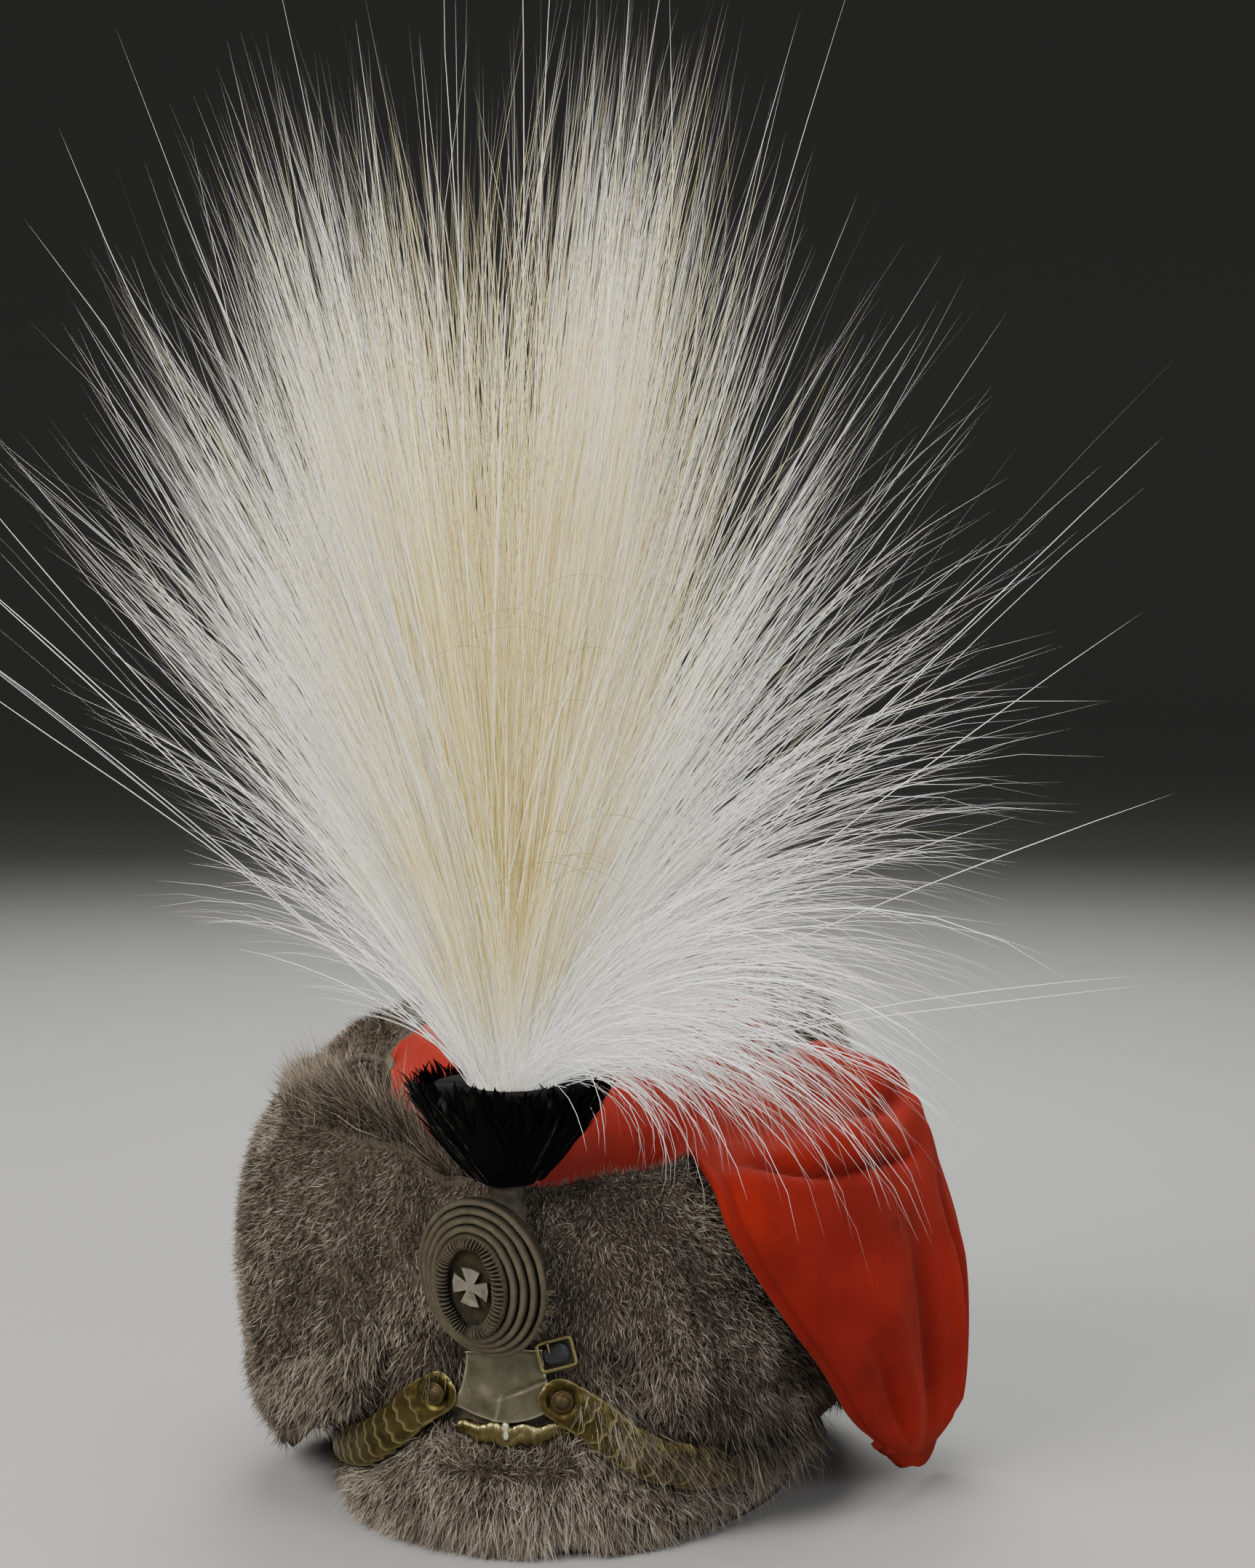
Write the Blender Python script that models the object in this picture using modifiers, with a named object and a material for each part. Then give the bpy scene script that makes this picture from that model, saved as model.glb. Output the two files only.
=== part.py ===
"""Plumed fur hat: a busby with a hollow fur body, a hanging cloth bag, a plume and a scaled chin strap.

Metres, +Z up. The front faces -Y, the bag hangs on the +X side, and the origin is the centre of the
head opening, on the surface that the hat stands on. An azimuth is measured in degrees from the front
towards +X, and a lift is a distance out from the seat oval, the cap's own wall under the fur.
"""
import math

import bmesh
import bpy
import numpy as np
from mathutils import Matrix, Vector

# Cap and fur body
HEAD_HALF_WIDTH = 0.078
HEAD_HALF_LENGTH = 0.098
CROWN_TAPER = 0.006
SEAT_HALF_WIDTH = 0.088
SEAT_HALF_LENGTH = 0.113
FUR_HEIGHT = 0.186
FUR_BULGE = 0.046
LOBE_SAG = 0.042
LOBE_SAG_RISE = 0.10
LOBE_SAG_FADE = 2.5
LOBE_ROUNDNESS = 0.42
RIM_ROUNDING = 0.03
LEDGE_DROP = 0.010
LEDGE_WIDTH = 0.008
LOCK_DEPTH = 0.0035
LOCK_DROOP = 0.0030
HEM_FLARE = 0.006
HEM_SIDE_FLARE_SHARE = 0.15
HEM_FRONT_SPAN = 50.0
HEM_RAGGED = 0.007
HEM_TUFT_SHARE = 0.5
HEM_INNER_SHARE = 0.6
HEM_EDGE = 0.0008
HEM_CLEARANCE = 0.0025
FUR_COLUMNS = 90
LOBE_ROWS = 9

# Bag
BAG_THICKNESS = 0.0025
CROWN_SEAT_SHARE = 0.20
CROWN_CLEARANCE = 0.0010
BAG_CROWN_RISE = 0.020
CROWN_FIRST_SHARE = 0.04
DOME_FIRST_SHARE = 0.06
DOME_LAST_SHARE = 0.76
BAG_MOUTH_SHARE = 0.42
BAG_TUCK = 0.040
BAG_TIP_ROUNDING = 0.25
BAG_OUT = 0.064
BAG_TIP_HEIGHT = 0.008
BAG_CREST_CLEARANCE = 0.0012
BAG_COLUMNS = 10
BAG_ROWS = 28

# Plume, its cup and its stem
PLUME_HEIGHT = 0.392
PLUME_NECK_RADIUS = 0.016
PLUME_FOOT_RADIUS = 0.010
PLUME_CORE_RADIUS = 0.040
PLUME_CORE_HEIGHT = 0.150
PLUME_DEPTH_SHARE = 0.78
PLUME_HEAD_SIDES = 14
PLUME_RIGHT_REACH = 0.10
LOCK_HALF_WIDTH = 0.0145
LOCK_THICKNESS_SHARE = 0.50
LOCK_STEPS = 6
LOCK_START = 0.033
LOCK_UPRIGHT_SHARE = 0.28
LOCK_SAG_POWER = 2.2
LOCK_ODD_SHORTER = 0.08
LOCK_WIDTHS = (0.55, 0.95, 1.15, 1.05, 0.70, 0.10)
LOCK_SIDES = 5
CUP_TOP_RADIUS = 0.030
CUP_BOTTOM_RADIUS = 0.0095
CUP_HEIGHT = 0.036
CUP_SOCKET_DEPTH = 0.020
CUP_BLADES = 12
CUP_BLADE_SIDES = 4
CUP_BLADE_WIDTH = 0.0036
CUP_SIDES = 16
CUP_BLADE_STAGGER = 0.06
STEM_RADIUS = 0.0065
STEM_LENGTH = 0.036
STEM_SIDES = 16
STEM_AZIMUTH = 3.5

# Cockade
COCKADE_HALF_WIDTH = 0.0265
COCKADE_HALF_HEIGHT = 0.0300
COCKADE_RISE = 0.0120
COCKADE_EDGE = 0.0030
COCKADE_CORDS = 5
COCKADE_CORD_RELIEF = 0.0012
COCKADE_HOLE_SHARE = 0.44
COCKADE_LONG = 0.0070
FIELD_CLEARANCE = 0.00036
COCKADE_AZIMUTH = 0.0
COCKADE_YAW = -17.0
COCKADE_PITCH = -12.0
COCKADE_ROLL = -9.0
COCKADE_CENTRE_HEIGHT = 0.105
COCKADE_DOME_POWER = 1.6
COCKADE_TURN_SHARE = 0.5
COCKADE_STEPS = 24
ROPE_RADIUS = 0.0021
ROPE_SIDES = 5
ROPE_CLEARANCE = 0.0009
CROSS_SIZE = 0.0145
CROSS_THICKNESS = 0.0010
CROSS_WAIST_SHARE = 0.20
CROSS_FLARE_SHARE = 0.52
CROSS_SHOULDER_SHARE = 0.92

# Front metalwork
SHEET = 0.0010
PLATE_HEIGHT = 0.0265
PLATE_LUG_RISE = 0.00766
PLATE_SIDE_RISE = 0.0050
PLATE_MIDDLE_AZIMUTH = 1.6
PLATE_SPREAD = 8.4
PLATE_FOOT_FLARE = 0.32
PLATE_LOW_SIDE_SHARE = 0.88
BAR_HEIGHT = 0.0070
BAR_THICKNESS = 0.0018
BAR_LEFT_AZIMUTH = -9.0
BAR_RIGHT_AZIMUTH = 12.0
BAR_END_SHARE = 0.55
PIN_RADIUS = 0.0011
PIN_LENGTH = 0.0062
PIN_AZIMUTH = 2.2
PIN_SIDES = 8
PIN_TIP_SHARE = 0.6
BUCKLE_WIDTH = 0.0135
BUCKLE_HEIGHT = 0.0112
BUCKLE_BAR = 0.0016
BUCKLE_AZIMUTH = 13.4
BUCKLE_TILT = 14.0
BUCKLE_LEVEL_SHARE = 0.92
TONGUE_SIDE_SHARE = 0.16
TONGUE_RADIUS = 0.0007
STRAP_END_THICKNESS = 0.0015

# Chin strap and its scales
STRAP_WIDTH = 0.0130
SCALE_WIDTH = 0.0180
SCALE_LENGTH = 0.0125
SCALE_PITCH = 0.0075
SCALE_THICKNESS = 0.0008
SCALE_ARCH = 0.0006
LUG_RADIUS = 0.0085
STUD_RADIUS = 0.0042
STUD_SIDES = 12
LEFT_SCALES = 9
RIGHT_SCALES = 11
STRAP_SAMPLES = 160
STRAP_ROWS = 20
SCALE_STRAIGHT_SHARE = 0.45
SCALE_ROUNDNESS = 0.72
LUG_ROUNDNESS = 0.90
LUG_SCALE_SHARE = 0.95

# Cord loop on the rim
LOOP_RADIUS = 0.0085
LOOP_CORD_RADIUS = 0.0019
LOOP_AZIMUTH = -47.0
LOOP_SIDES = 16
LOOP_CORD_SIDES = 6
LOOP_FACING = (0.25, -1.0, 0.15)

GAP = 0.0003
MERGE = 0.00005

# Columns: azimuth, bulge as a share of FUR_BULGE, rim and lobe foot as shares of FUR_HEIGHT
FUR_SECTIONS = (
    (-172, 0.42, 0.990, 0.160),
    (-140, 0.62, 1.000, 0.160),
    (-112, 0.88, 0.930, 0.165),
    (-84, 1.00, 0.850, 0.170),
    (-62, 0.86, 0.840, 0.185),
    (-40, 0.50, 0.830, 0.270),
    (-26, 0.20, 0.800, 0.400),
    (-13, 0.00, 0.740, 0.430),
    (13, 0.00, 0.725, 0.430),
    (26, 0.20, 0.745, 0.400),
    (40, 0.40, 0.755, 0.270),
    (62, 0.46, 0.750, 0.185),
    (86, 0.50, 0.790, 0.170),
    (108, 0.62, 0.880, 0.165),
    (128, 0.82, 1.000, 0.160),
    (160, 0.46, 1.010, 0.160),
)

# Columns: azimuth away from the front, height of the chin strap as a share of FUR_HEIGHT
CHIN_ROUTE = (
    (14.5, 0.310),
    (21.0, 0.272),
    (28.0, 0.220),
    (36.0, 0.176),
    (46.0, 0.146),
    (60.0, 0.130),
    (78.0, 0.124),
    (97.0, 0.120),
)
PLATE_BOTTOM = FUR_HEIGHT * CHIN_ROUTE[0][1] - PLATE_LUG_RISE

# Columns: radius and height as shares of STUD_RADIUS
STUD_PROFILE = (
    (0.00, 0.55),
    (0.55, 0.45),
    (0.95, 0.18),
    (1.00, 0.00),
    (0.00, 0.00),
)

# Columns: azimuth, height of the hem's lock tips as a share of HEM_RAGGED
HEM_TIPS = (
    (-150, 0.2),
    (-95, 0.5),
    (-60, 0.9),
    (-36, 0.3),
    (-14, 0.6),
    (3, 0.0),
    (17, 1.4),
    (27, 0.1),
    (44, 0.7),
    (70, 1.0),
    (110, 0.3),
    (160, 0.4),
)

# Columns: shares of the hem's top and of its tip that make a height, flare share, more flare on the tufts
HEM_PROFILE = (
    (1.00, 0.0, 0.00, 0.00),
    (0.80, 0.0, 0.65, 0.15),
    (0.42, 0.4, 0.80, 0.20),
    (0.00, 1.0, 0.50, 0.40),
)

# Columns: share of the drop, front and back azimuths, front and back lifts as shares of BAG_OUT
BAG_FLAP = (
    (-0.08, 44, 106, -0.06, -0.06),
    (0.00, 44, 106, 0.06, 0.12),
    (0.07, 43, 106, 0.32, 0.50),
    (0.17, 44, 105, 0.42, 0.66),
    (0.32, 50, 105, 0.44, 0.80),
    (0.47, 57, 105, 0.46, 0.91),
    (0.62, 65, 105, 0.47, 0.99),
    (0.78, 74, 105, 0.49, 0.99),
    (0.91, 83, 104, 0.53, 0.88),
    (1.00, 92, 100, 0.58, 0.68),
)

# Columns: radius as a share of PLUME_CORE_RADIUS, height as a share of PLUME_CORE_HEIGHT
PLUME_HEAD = (
    (0.00, 1.00),
    (0.70, 0.92),
    (1.00, 0.66),
    (0.80, 0.36),
    (0.48, 0.12),
)

# Columns: radius as a share of CUP_TOP_RADIUS, height as a share of CUP_HEIGHT
CUP_PROFILE = (
    (0.86, 1.00),
    (1.00, 0.90),
    (0.76, 0.55),
    (0.43, 0.12),
)

# Columns: radius as a share of CUP_TOP_RADIUS, height and blade width as shares
CUP_BLADE_ROUTE = (
    (0.35, 0.16, 0.62),
    (0.82, 0.62, 1.00),
    (1.07, 1.02, 0.24),
)

# Columns: locks in the tier, lean from upright, length and sag as shares, width share, azimuth of the first
PLUME_TIERS = (
    (5, 6, 1.00, 0.00, 1.00, 20),
    (7, 17, 0.98, 0.02, 1.15, 0),
    (9, 32, 0.86, 0.05, 1.20, 12),
    (9, 50, 0.72, 0.08, 1.15, 34),
    (8, 66, 0.62, 0.07, 0.95, 18),
    (4, 74, 0.50, 0.05, 0.75, 54),
)

materials = {}


def material(name, colour, roughness, metallic=0.0):
    """One Principled material, made once for each name."""
    if name not in materials:
        made = bpy.data.materials.new(name)
        made.use_nodes = True
        shader = made.node_tree.nodes["Principled BSDF"]
        shader.inputs["Base Color"].default_value = (*colour, 1.0)
        shader.inputs["Roughness"].default_value = roughness
        shader.inputs["Metallic"].default_value = metallic
        materials[name] = made
    return materials[name]


def fur_material():
    return material("fur", (0.105, 0.088, 0.070), 0.95)


def cloth_material():
    return material("red_cloth", (0.42, 0.030, 0.012), 0.85)


def plume_material():
    return material("plume_white", (0.80, 0.76, 0.62), 0.60)


def black_feather_material():
    return material("black_feather", (0.006, 0.006, 0.007), 0.45)


def stem_material():
    return material("stem_cloth", (0.075, 0.065, 0.045), 0.70)


def gimp_material():
    return material("tarnished_gimp", (0.20, 0.17, 0.11), 0.50, 0.6)


def field_material():
    return material("dark_field", (0.030, 0.024, 0.016), 0.85)


def silver_material():
    return material("silver", (0.45, 0.43, 0.36), 0.35, 1.0)


def plate_material():
    return material("worn_plate", (0.23, 0.21, 0.13), 0.50, 0.7)


def brass_material():
    return material("brass", (0.32, 0.25, 0.09), 0.38, 1.0)


def leather_material():
    return material("black_leather", (0.012, 0.012, 0.014), 0.55)


def cord_material():
    return material("rim_cord", (0.085, 0.075, 0.060), 0.85)


def clear_scene():
    for thing in list(bpy.data.objects):
        bpy.data.objects.remove(thing, do_unlink=True)


def collection(name):
    made = bpy.data.collections.new(name)
    bpy.context.scene.collection.children.link(made)
    return made


def ring_value(table, azimuth, column):
    """Value of one column at an azimuth, eased from row to row round the ring."""
    rows = sorted(table)
    first = rows[0]
    rows = rows + [(first[0] + 360, *first[1:])]
    turn = (azimuth - first[0]) % 360 + first[0]
    for low, high in zip(rows, rows[1:]):
        if turn <= high[0]:
            share = (turn - low[0]) / (high[0] - low[0])
            eased = (1 - math.cos(math.pi * share)) / 2
            return low[column] + (high[column] - low[column]) * eased
    return rows[-1][column]


def table_value(table, station, column):
    """Value of one column at a station, on a smooth curve through the rows."""
    stations = [row[0] for row in table]
    values = [row[column] for row in table]
    index = min(max(np.searchsorted(stations, station) - 1, 0), len(table) - 2)
    before = max(index - 1, 0)
    after = min(index + 2, len(table) - 1)
    span = stations[index + 1] - stations[index]
    share = (station - stations[index]) / span
    slope_in = (values[index + 1] - values[before]) / (stations[index + 1] - stations[before]) * span
    slope_out = (values[after] - values[index]) / (stations[after] - stations[index]) * span
    square = share * share
    cube = square * share
    return (
        (2 * cube - 3 * square + 1) * values[index]
        + (cube - 2 * square + share) * slope_in
        + (3 * square - 2 * cube) * values[index + 1]
        + (cube - square) * slope_out
    )


def oval_point(half_width, half_length, azimuth, height):
    angle = math.radians(azimuth)
    return Vector((half_width * math.sin(angle), -half_length * math.cos(angle), height))


def seat_point(azimuth, height, lift):
    """Point that lies lift outside the seat oval."""
    return oval_point(SEAT_HALF_WIDTH + lift, SEAT_HALF_LENGTH + lift, azimuth, height)


def seat_normal(azimuth):
    angle = math.radians(azimuth)
    return Vector((math.sin(angle) / SEAT_HALF_WIDTH, -math.cos(angle) / SEAT_HALF_LENGTH, 0)).normalized()


def add_object(name, mesh, shade, parent):
    mesh.materials.append(shade)
    made = bpy.data.objects.new(name, mesh)
    parent.objects.link(made)
    return made


def mesh_from(name, points, faces):
    mesh = bpy.data.meshes.new(name)
    mesh.from_pydata([tuple(point) for point in points], [], faces)
    mesh.validate()
    work = bmesh.new()
    work.from_mesh(mesh)
    bmesh.ops.recalc_face_normals(work, faces=work.faces)
    work.to_mesh(mesh)
    work.free()
    return mesh


def ring_faces(rings, sides, closed_along):
    """Quads between rings of as many points each, with flat ends unless the rings close on themselves."""
    faces = []
    steps = rings if closed_along else rings - 1
    for ring in range(steps):
        for side in range(sides):
            low = ring * sides
            high = (ring + 1) % rings * sides
            after = (side + 1) % sides
            faces.append((low + side, low + after, high + after, high + side))
    if not closed_along:
        faces.append(tuple(range(sides)))
        faces.append(tuple(range((rings - 1) * sides, rings * sides)))
    return faces


def grid_sheet(name, columns, rows, place, thickness, shade, parent, turned_over=False):
    """Open sheet whose points are place(across, along), both from 0 to 1, thickened outward by Solidify.

    The sheet's outer side is the one that across, then along, turn round anticlockwise, unless turned over.
    """
    work = bmesh.new()
    bmesh.ops.create_grid(work, x_segments=columns, y_segments=rows, size=0.5)
    for vertex in work.verts:
        vertex.co = place(vertex.co.x + 0.5, vertex.co.y + 0.5)
    if turned_over:
        bmesh.ops.reverse_faces(work, faces=work.faces)
    mesh = bpy.data.meshes.new(name)
    work.to_mesh(mesh)
    work.free()
    made = add_object(name, mesh, shade, parent)
    wall = made.modifiers.new("Wall", "SOLIDIFY")
    wall.thickness = thickness
    wall.offset = 1.0
    wall.use_even_offset = True
    return made


def flat_outline(name, outline, thickness, frame, shade, parent, holes=()):
    """Flat piece of one thickness from a 2D curve, its back at the origin of the frame that turns it."""
    curve = bpy.data.curves.new(name, "CURVE")
    curve.dimensions = "2D"
    curve.fill_mode = "BOTH"
    curve.extrude = thickness / 2
    for loop in (outline, *holes):
        spline = curve.splines.new("POLY")
        spline.points.add(len(loop) - 1)
        for point, (x, y) in zip(spline.points, loop):
            point.co = (x, y, 0, 1)
        spline.use_cyclic_u = True
    made = bpy.data.objects.new(name, curve)
    curve.materials.append(shade)
    parent.objects.link(made)
    made.matrix_world = frame @ Matrix.Translation((0, 0, thickness / 2))
    weld = made.modifiers.new("Weld", "WELD")
    weld.merge_threshold = MERGE
    return made


def frame_at(origin, outward, upward):
    """Matrix whose local Z is outward and whose local Y lies as near upward as it can."""
    across = upward.cross(outward).normalized()
    up = outward.cross(across).normalized()
    turn = Matrix((across, up, outward.normalized())).transposed().to_4x4()
    return Matrix.Translation(origin) @ turn


def smooth(made, angle=40.0):
    made.data.shade_smooth()
    made.data.set_sharp_from_angle(angle=math.radians(angle))


def lobe_fullness(share):
    """How full a fur lobe is from its foot (0) to the rim (1)."""
    inside = min(max(share, 0.0), 1.0)
    return (4 * inside * (1 - inside)) ** LOBE_ROUNDNESS


def lobe_sag(share):
    """How far the lobe hangs down over the chin strap, most just outside its foot."""
    return min(share / LOBE_SAG_RISE, 1.0) * (1 - share) ** LOBE_SAG_FADE


def rim_height(azimuth):
    return FUR_HEIGHT * ring_value(FUR_SECTIONS, azimuth, 2)


def lobe_foot(azimuth):
    return FUR_HEIGHT * ring_value(FUR_SECTIONS, azimuth, 3)


def fur_lift(azimuth, height):
    """Lift of the fur's plain outer face, without its locks."""
    foot = lobe_foot(azimuth)
    share = (height - foot) / (rim_height(azimuth) - foot)
    return FUR_BULGE * ring_value(FUR_SECTIONS, azimuth, 1) * lobe_fullness(share)


def hem_top(azimuth):
    """Height where the hem's fur starts, just under the chin strap or the brass strip."""
    away = min(max(abs(azimuth), CHIN_ROUTE[0][0]), CHIN_ROUTE[-1][0])
    under_scales = FUR_HEIGHT * table_value(CHIN_ROUTE, away, 1) - SCALE_WIDTH / 2
    return min(under_scales, PLATE_BOTTOM - BAR_HEIGHT) - HEM_CLEARANCE


def fur_profile(azimuth, column):
    """Closed section of the fur body: up the hollow, over the rim, down the outside and back under."""
    rim = rim_height(azimuth)
    foot = lobe_foot(azimuth)
    ledge = rim - LEDGE_DROP
    top_width = HEAD_HALF_WIDTH - CROWN_TAPER
    top_length = HEAD_HALF_LENGTH - CROWN_TAPER
    bulge = ring_value(FUR_SECTIONS, azimuth, 1)
    half_taper = CROWN_TAPER / 2
    section = [
        oval_point(HEAD_HALF_WIDTH, HEAD_HALF_LENGTH, azimuth, 0),
        oval_point(HEAD_HALF_WIDTH - half_taper, HEAD_HALF_LENGTH - half_taper, azimuth, ledge / 2),
        oval_point(top_width, top_length, azimuth, ledge),
        oval_point(top_width + LEDGE_WIDTH, top_length + LEDGE_WIDTH, azimuth, ledge),
    ]
    out = 1 if column % 2 else 0
    inner = seat_point(azimuth, rim - LOCK_DROOP, -LEDGE_WIDTH / 2)
    section.append(inner)
    for row in range(LOBE_ROWS):
        share = (1 - RIM_ROUNDING) * (1 - row / (LOBE_ROWS - 1))
        height = foot + (rim - foot) * share
        stands = (out + row) % 2 * bulge
        lift = fur_lift(azimuth, height) + LOCK_DEPTH * stands * math.sin(math.pi * share)
        hang = LOCK_DROOP * stands * math.sin(math.pi * share) + LOBE_SAG * bulge * lobe_sag(share)
        section.append(seat_point(azimuth, height - hang, lift))
    tip = HEM_RAGGED * (ring_value(HEM_TIPS, azimuth, 1) + HEM_TUFT_SHARE * (1 - out)) + HEM_EDGE
    top = hem_top(azimuth)
    front = math.exp(-(azimuth / HEM_FRONT_SPAN) ** 2)
    flare = HEM_FLARE * (HEM_SIDE_FLARE_SHARE + (1 - HEM_SIDE_FLARE_SHARE) * front)
    for top_share, tip_share, flare_share, tuft_share in HEM_PROFILE:
        lift = flare * (flare_share + tuft_share * out)
        section.append(seat_point(azimuth, top * top_share + tip * tip_share, lift))
    section.append(seat_point(azimuth, 0, -HEM_FLARE * HEM_INNER_SHARE))
    return section


def fur_body(parent):
    """Hollow fur wall, open at the head and at the top, with lobes, tufts and a ragged hem."""
    points = []
    for column in range(FUR_COLUMNS):
        azimuth = 360 * column / FUR_COLUMNS - 180
        points.extend(fur_profile(azimuth, column))
    sides = len(points) // FUR_COLUMNS
    mesh = mesh_from("fur_body", points, ring_faces(FUR_COLUMNS, sides, True))
    return add_object("fur_body", mesh, fur_material(), parent)


def crown_edge(azimuth):
    """Point of the crown's edge, just over the ledge inside the rim."""
    edge = LEDGE_WIDTH * CROWN_SEAT_SHARE - CROWN_TAPER
    step = 360 / FUR_COLUMNS
    highest = max(rim_height(azimuth - step), rim_height(azimuth), rim_height(azimuth + step))
    height = highest - LEDGE_DROP + CROWN_CLEARANCE
    return oval_point(HEAD_HALF_WIDTH + edge, HEAD_HALF_LENGTH + edge, azimuth, height)


def crown_point(across, share):
    """Point of the crown, a low dome between its front and back edges, from the left to the bag's mouth."""
    first = BAG_FLAP[0]
    front = crown_edge(-90 + (first[1] + 90) * share)
    back = crown_edge(-90 - (270 - first[2]) * share)
    side = 2 * across - 1
    spot = front.lerp(back, across)
    dome = math.sin(math.pi * (DOME_FIRST_SHARE + (DOME_LAST_SHARE - DOME_FIRST_SHARE) * share))
    spot.z += BAG_CROWN_RISE * (1 - side * side) * dome
    return spot


def flap_point(across, drop):
    """Point of the hanging flap, outside the fur; drop runs from the rim's crest (0) to the tip (1)."""
    side = 2 * across - 1
    azimuth = table_value(BAG_FLAP, drop, 1) * (1 - across) + table_value(BAG_FLAP, drop, 2) * across
    out = table_value(BAG_FLAP, drop, 3) * (1 - across) + table_value(BAG_FLAP, drop, 4) * across
    crest = rim_height(azimuth) + BAG_CREST_CLEARANCE
    tuck = min(drop, 0.0) * BAG_TUCK
    tip = BAG_TIP_HEIGHT * (1 + BAG_TIP_ROUNDING * side * side)
    height = crest + tuck + (tip - crest) * max(drop, 0.0)
    return seat_point(azimuth, height, BAG_OUT * out)


def bag_point(across, along):
    """Point on the bag's under face: across runs from front edge to back, along from the left to the tip."""
    if along <= BAG_MOUTH_SHARE:
        share = along / BAG_MOUTH_SHARE
        return crown_point(across, CROWN_FIRST_SHARE + (1 - CROWN_FIRST_SHARE) * share)
    first = BAG_FLAP[0][0]
    share = (along - BAG_MOUTH_SHARE) / (1 - BAG_MOUTH_SHARE)
    return flap_point(across, first + (1 - first) * share)


def bag(parent):
    """Cloth bag: it covers the crown, folds over the right side of the rim and hangs to a round tip."""
    shade = cloth_material()
    made = grid_sheet(
        "bag", BAG_COLUMNS, BAG_ROWS, bag_point, BAG_THICKNESS, shade, parent, turned_over=True
    )
    smooth(made, 60)
    return made


def stem_centre(height):
    return seat_point(STEM_AZIMUTH, height, GAP + STEM_RADIUS)


def cup_base():
    return stem_centre(rim_height(STEM_AZIMUTH) + 2 * GAP)


def plume_stem(parent):
    """Round stem that carries the cup, standing on the front of the fur behind the cockade."""
    top = cup_base().z - GAP
    work = bmesh.new()
    bmesh.ops.create_cone(
        work,
        cap_ends=True,
        segments=STEM_SIDES,
        radius1=STEM_RADIUS,
        radius2=STEM_RADIUS,
        depth=STEM_LENGTH,
    )
    mesh = bpy.data.meshes.new("plume_stem")
    work.to_mesh(mesh)
    work.free()
    made = add_object("plume_stem", mesh, stem_material(), parent)
    made.location = stem_centre(top - STEM_LENGTH / 2)
    smooth(made)
    return made


def turned(name, profile, steps, shade, parent):
    """Turned piece from a profile of radius and height, top to bottom, closed on the axis."""
    mesh = bpy.data.meshes.new(name)
    points = [(radius, 0, height) for radius, height in profile]
    mesh.from_pydata(points, [(i, i + 1) for i in range(len(points) - 1)], [])
    made = add_object(name, mesh, shade, parent)
    screw = made.modifiers.new("Turn", "SCREW")
    screw.steps = steps
    screw.render_steps = steps
    screw.use_merge_vertices = True
    screw.merge_threshold = MERGE
    screw.use_normal_calculate = False
    return made


def applied_mesh(made):
    """Plain mesh of an object as its modifiers leave it, with the modifiers gone."""
    graph = bpy.context.evaluated_depsgraph_get()
    mesh = bpy.data.meshes.new_from_object(made.evaluated_get(graph))
    made.modifiers.clear()
    made.data = mesh
    return made


def keep_outer_shell(mesh):
    """Drop the small shells round hollows between joined shapes, so that the solid is filled there."""
    work = bmesh.new()
    work.from_mesh(mesh)
    left = set(work.verts)
    shells = []
    while left:
        shell = {left.pop()}
        edge = list(shell)
        while edge:
            vertex = edge.pop()
            near = {link.other_vert(vertex) for link in vertex.link_edges} & left
            left -= near
            shell |= near
            edge.extend(near)
        shells.append(shell)
    shells.sort(key=len)
    for shell in shells[:-1]:
        bmesh.ops.delete(work, geom=list(shell), context="VERTS")
    work.to_mesh(mesh)
    work.free()


def joined_union(base, added):
    """Union of a base with a closed shape that runs into it, left as one closed body."""
    union = base.modifiers.new("Union", "BOOLEAN")
    union.operation = "UNION"
    union.solver = "EXACT"
    union.object = added
    bpy.context.view_layer.update()
    applied_mesh(base)
    keep_outer_shell(base.data)
    bpy.data.objects.remove(added, do_unlink=True)
    return base


def tapered_lock(points, widths, thickness_share, sides, outward):
    """Rings of a flat-oval lock that follows its points; outward names the thin way of each ring."""
    rings = []
    for index, point in enumerate(points):
        before = points[max(index - 1, 0)]
        after = points[min(index + 1, len(points) - 1)]
        along = (after - before).normalized()
        flat = along.cross(outward).normalized()
        thin = flat.cross(along).normalized()
        for side in range(sides):
            angle = 2 * math.pi * side / sides
            reach = flat * math.cos(angle) * widths[index]
            depth = thin * math.sin(angle) * widths[index] * thickness_share
            rings.append(point + reach + depth)
    return rings


def plume_lock_points(base, azimuth, lean, length, sag):
    """Route of one lock: upright in the head, then leaning outward and sagging towards its tip."""
    angle = math.radians(azimuth)
    outward = Vector((math.sin(angle), -math.cos(angle) * PLUME_DEPTH_SHARE, 0))
    points = []
    for step in range(LOCK_STEPS):
        share = step / (LOCK_STEPS - 1)
        tilt = math.radians(lean) * (1 - LOCK_UPRIGHT_SHARE * (1 - share))
        run = LOCK_START + (length - LOCK_START) * share
        rise = math.cos(tilt) * run - sag * share ** LOCK_SAG_POWER
        points.append(base + outward * math.sin(tilt) * run + Vector((0, 0, rise)))
    return points, outward


def plume_head(base, parent):
    """Core of the plume: a foot in the cup, a narrow neck and a widening head."""
    foot = -CUP_SOCKET_DEPTH + GAP
    profile = [(PLUME_CORE_RADIUS * radius, PLUME_CORE_HEIGHT * height) for radius, height in PLUME_HEAD]
    profile += [
        (PLUME_NECK_RADIUS, GAP * 4),
        (PLUME_FOOT_RADIUS, GAP),
        (PLUME_FOOT_RADIUS, foot),
        (0, foot),
    ]
    made = turned("plume", profile, PLUME_HEAD_SIDES, plume_material(), parent)
    applied_mesh(made)
    made.data.transform(Matrix.Translation(base))
    return made


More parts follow.
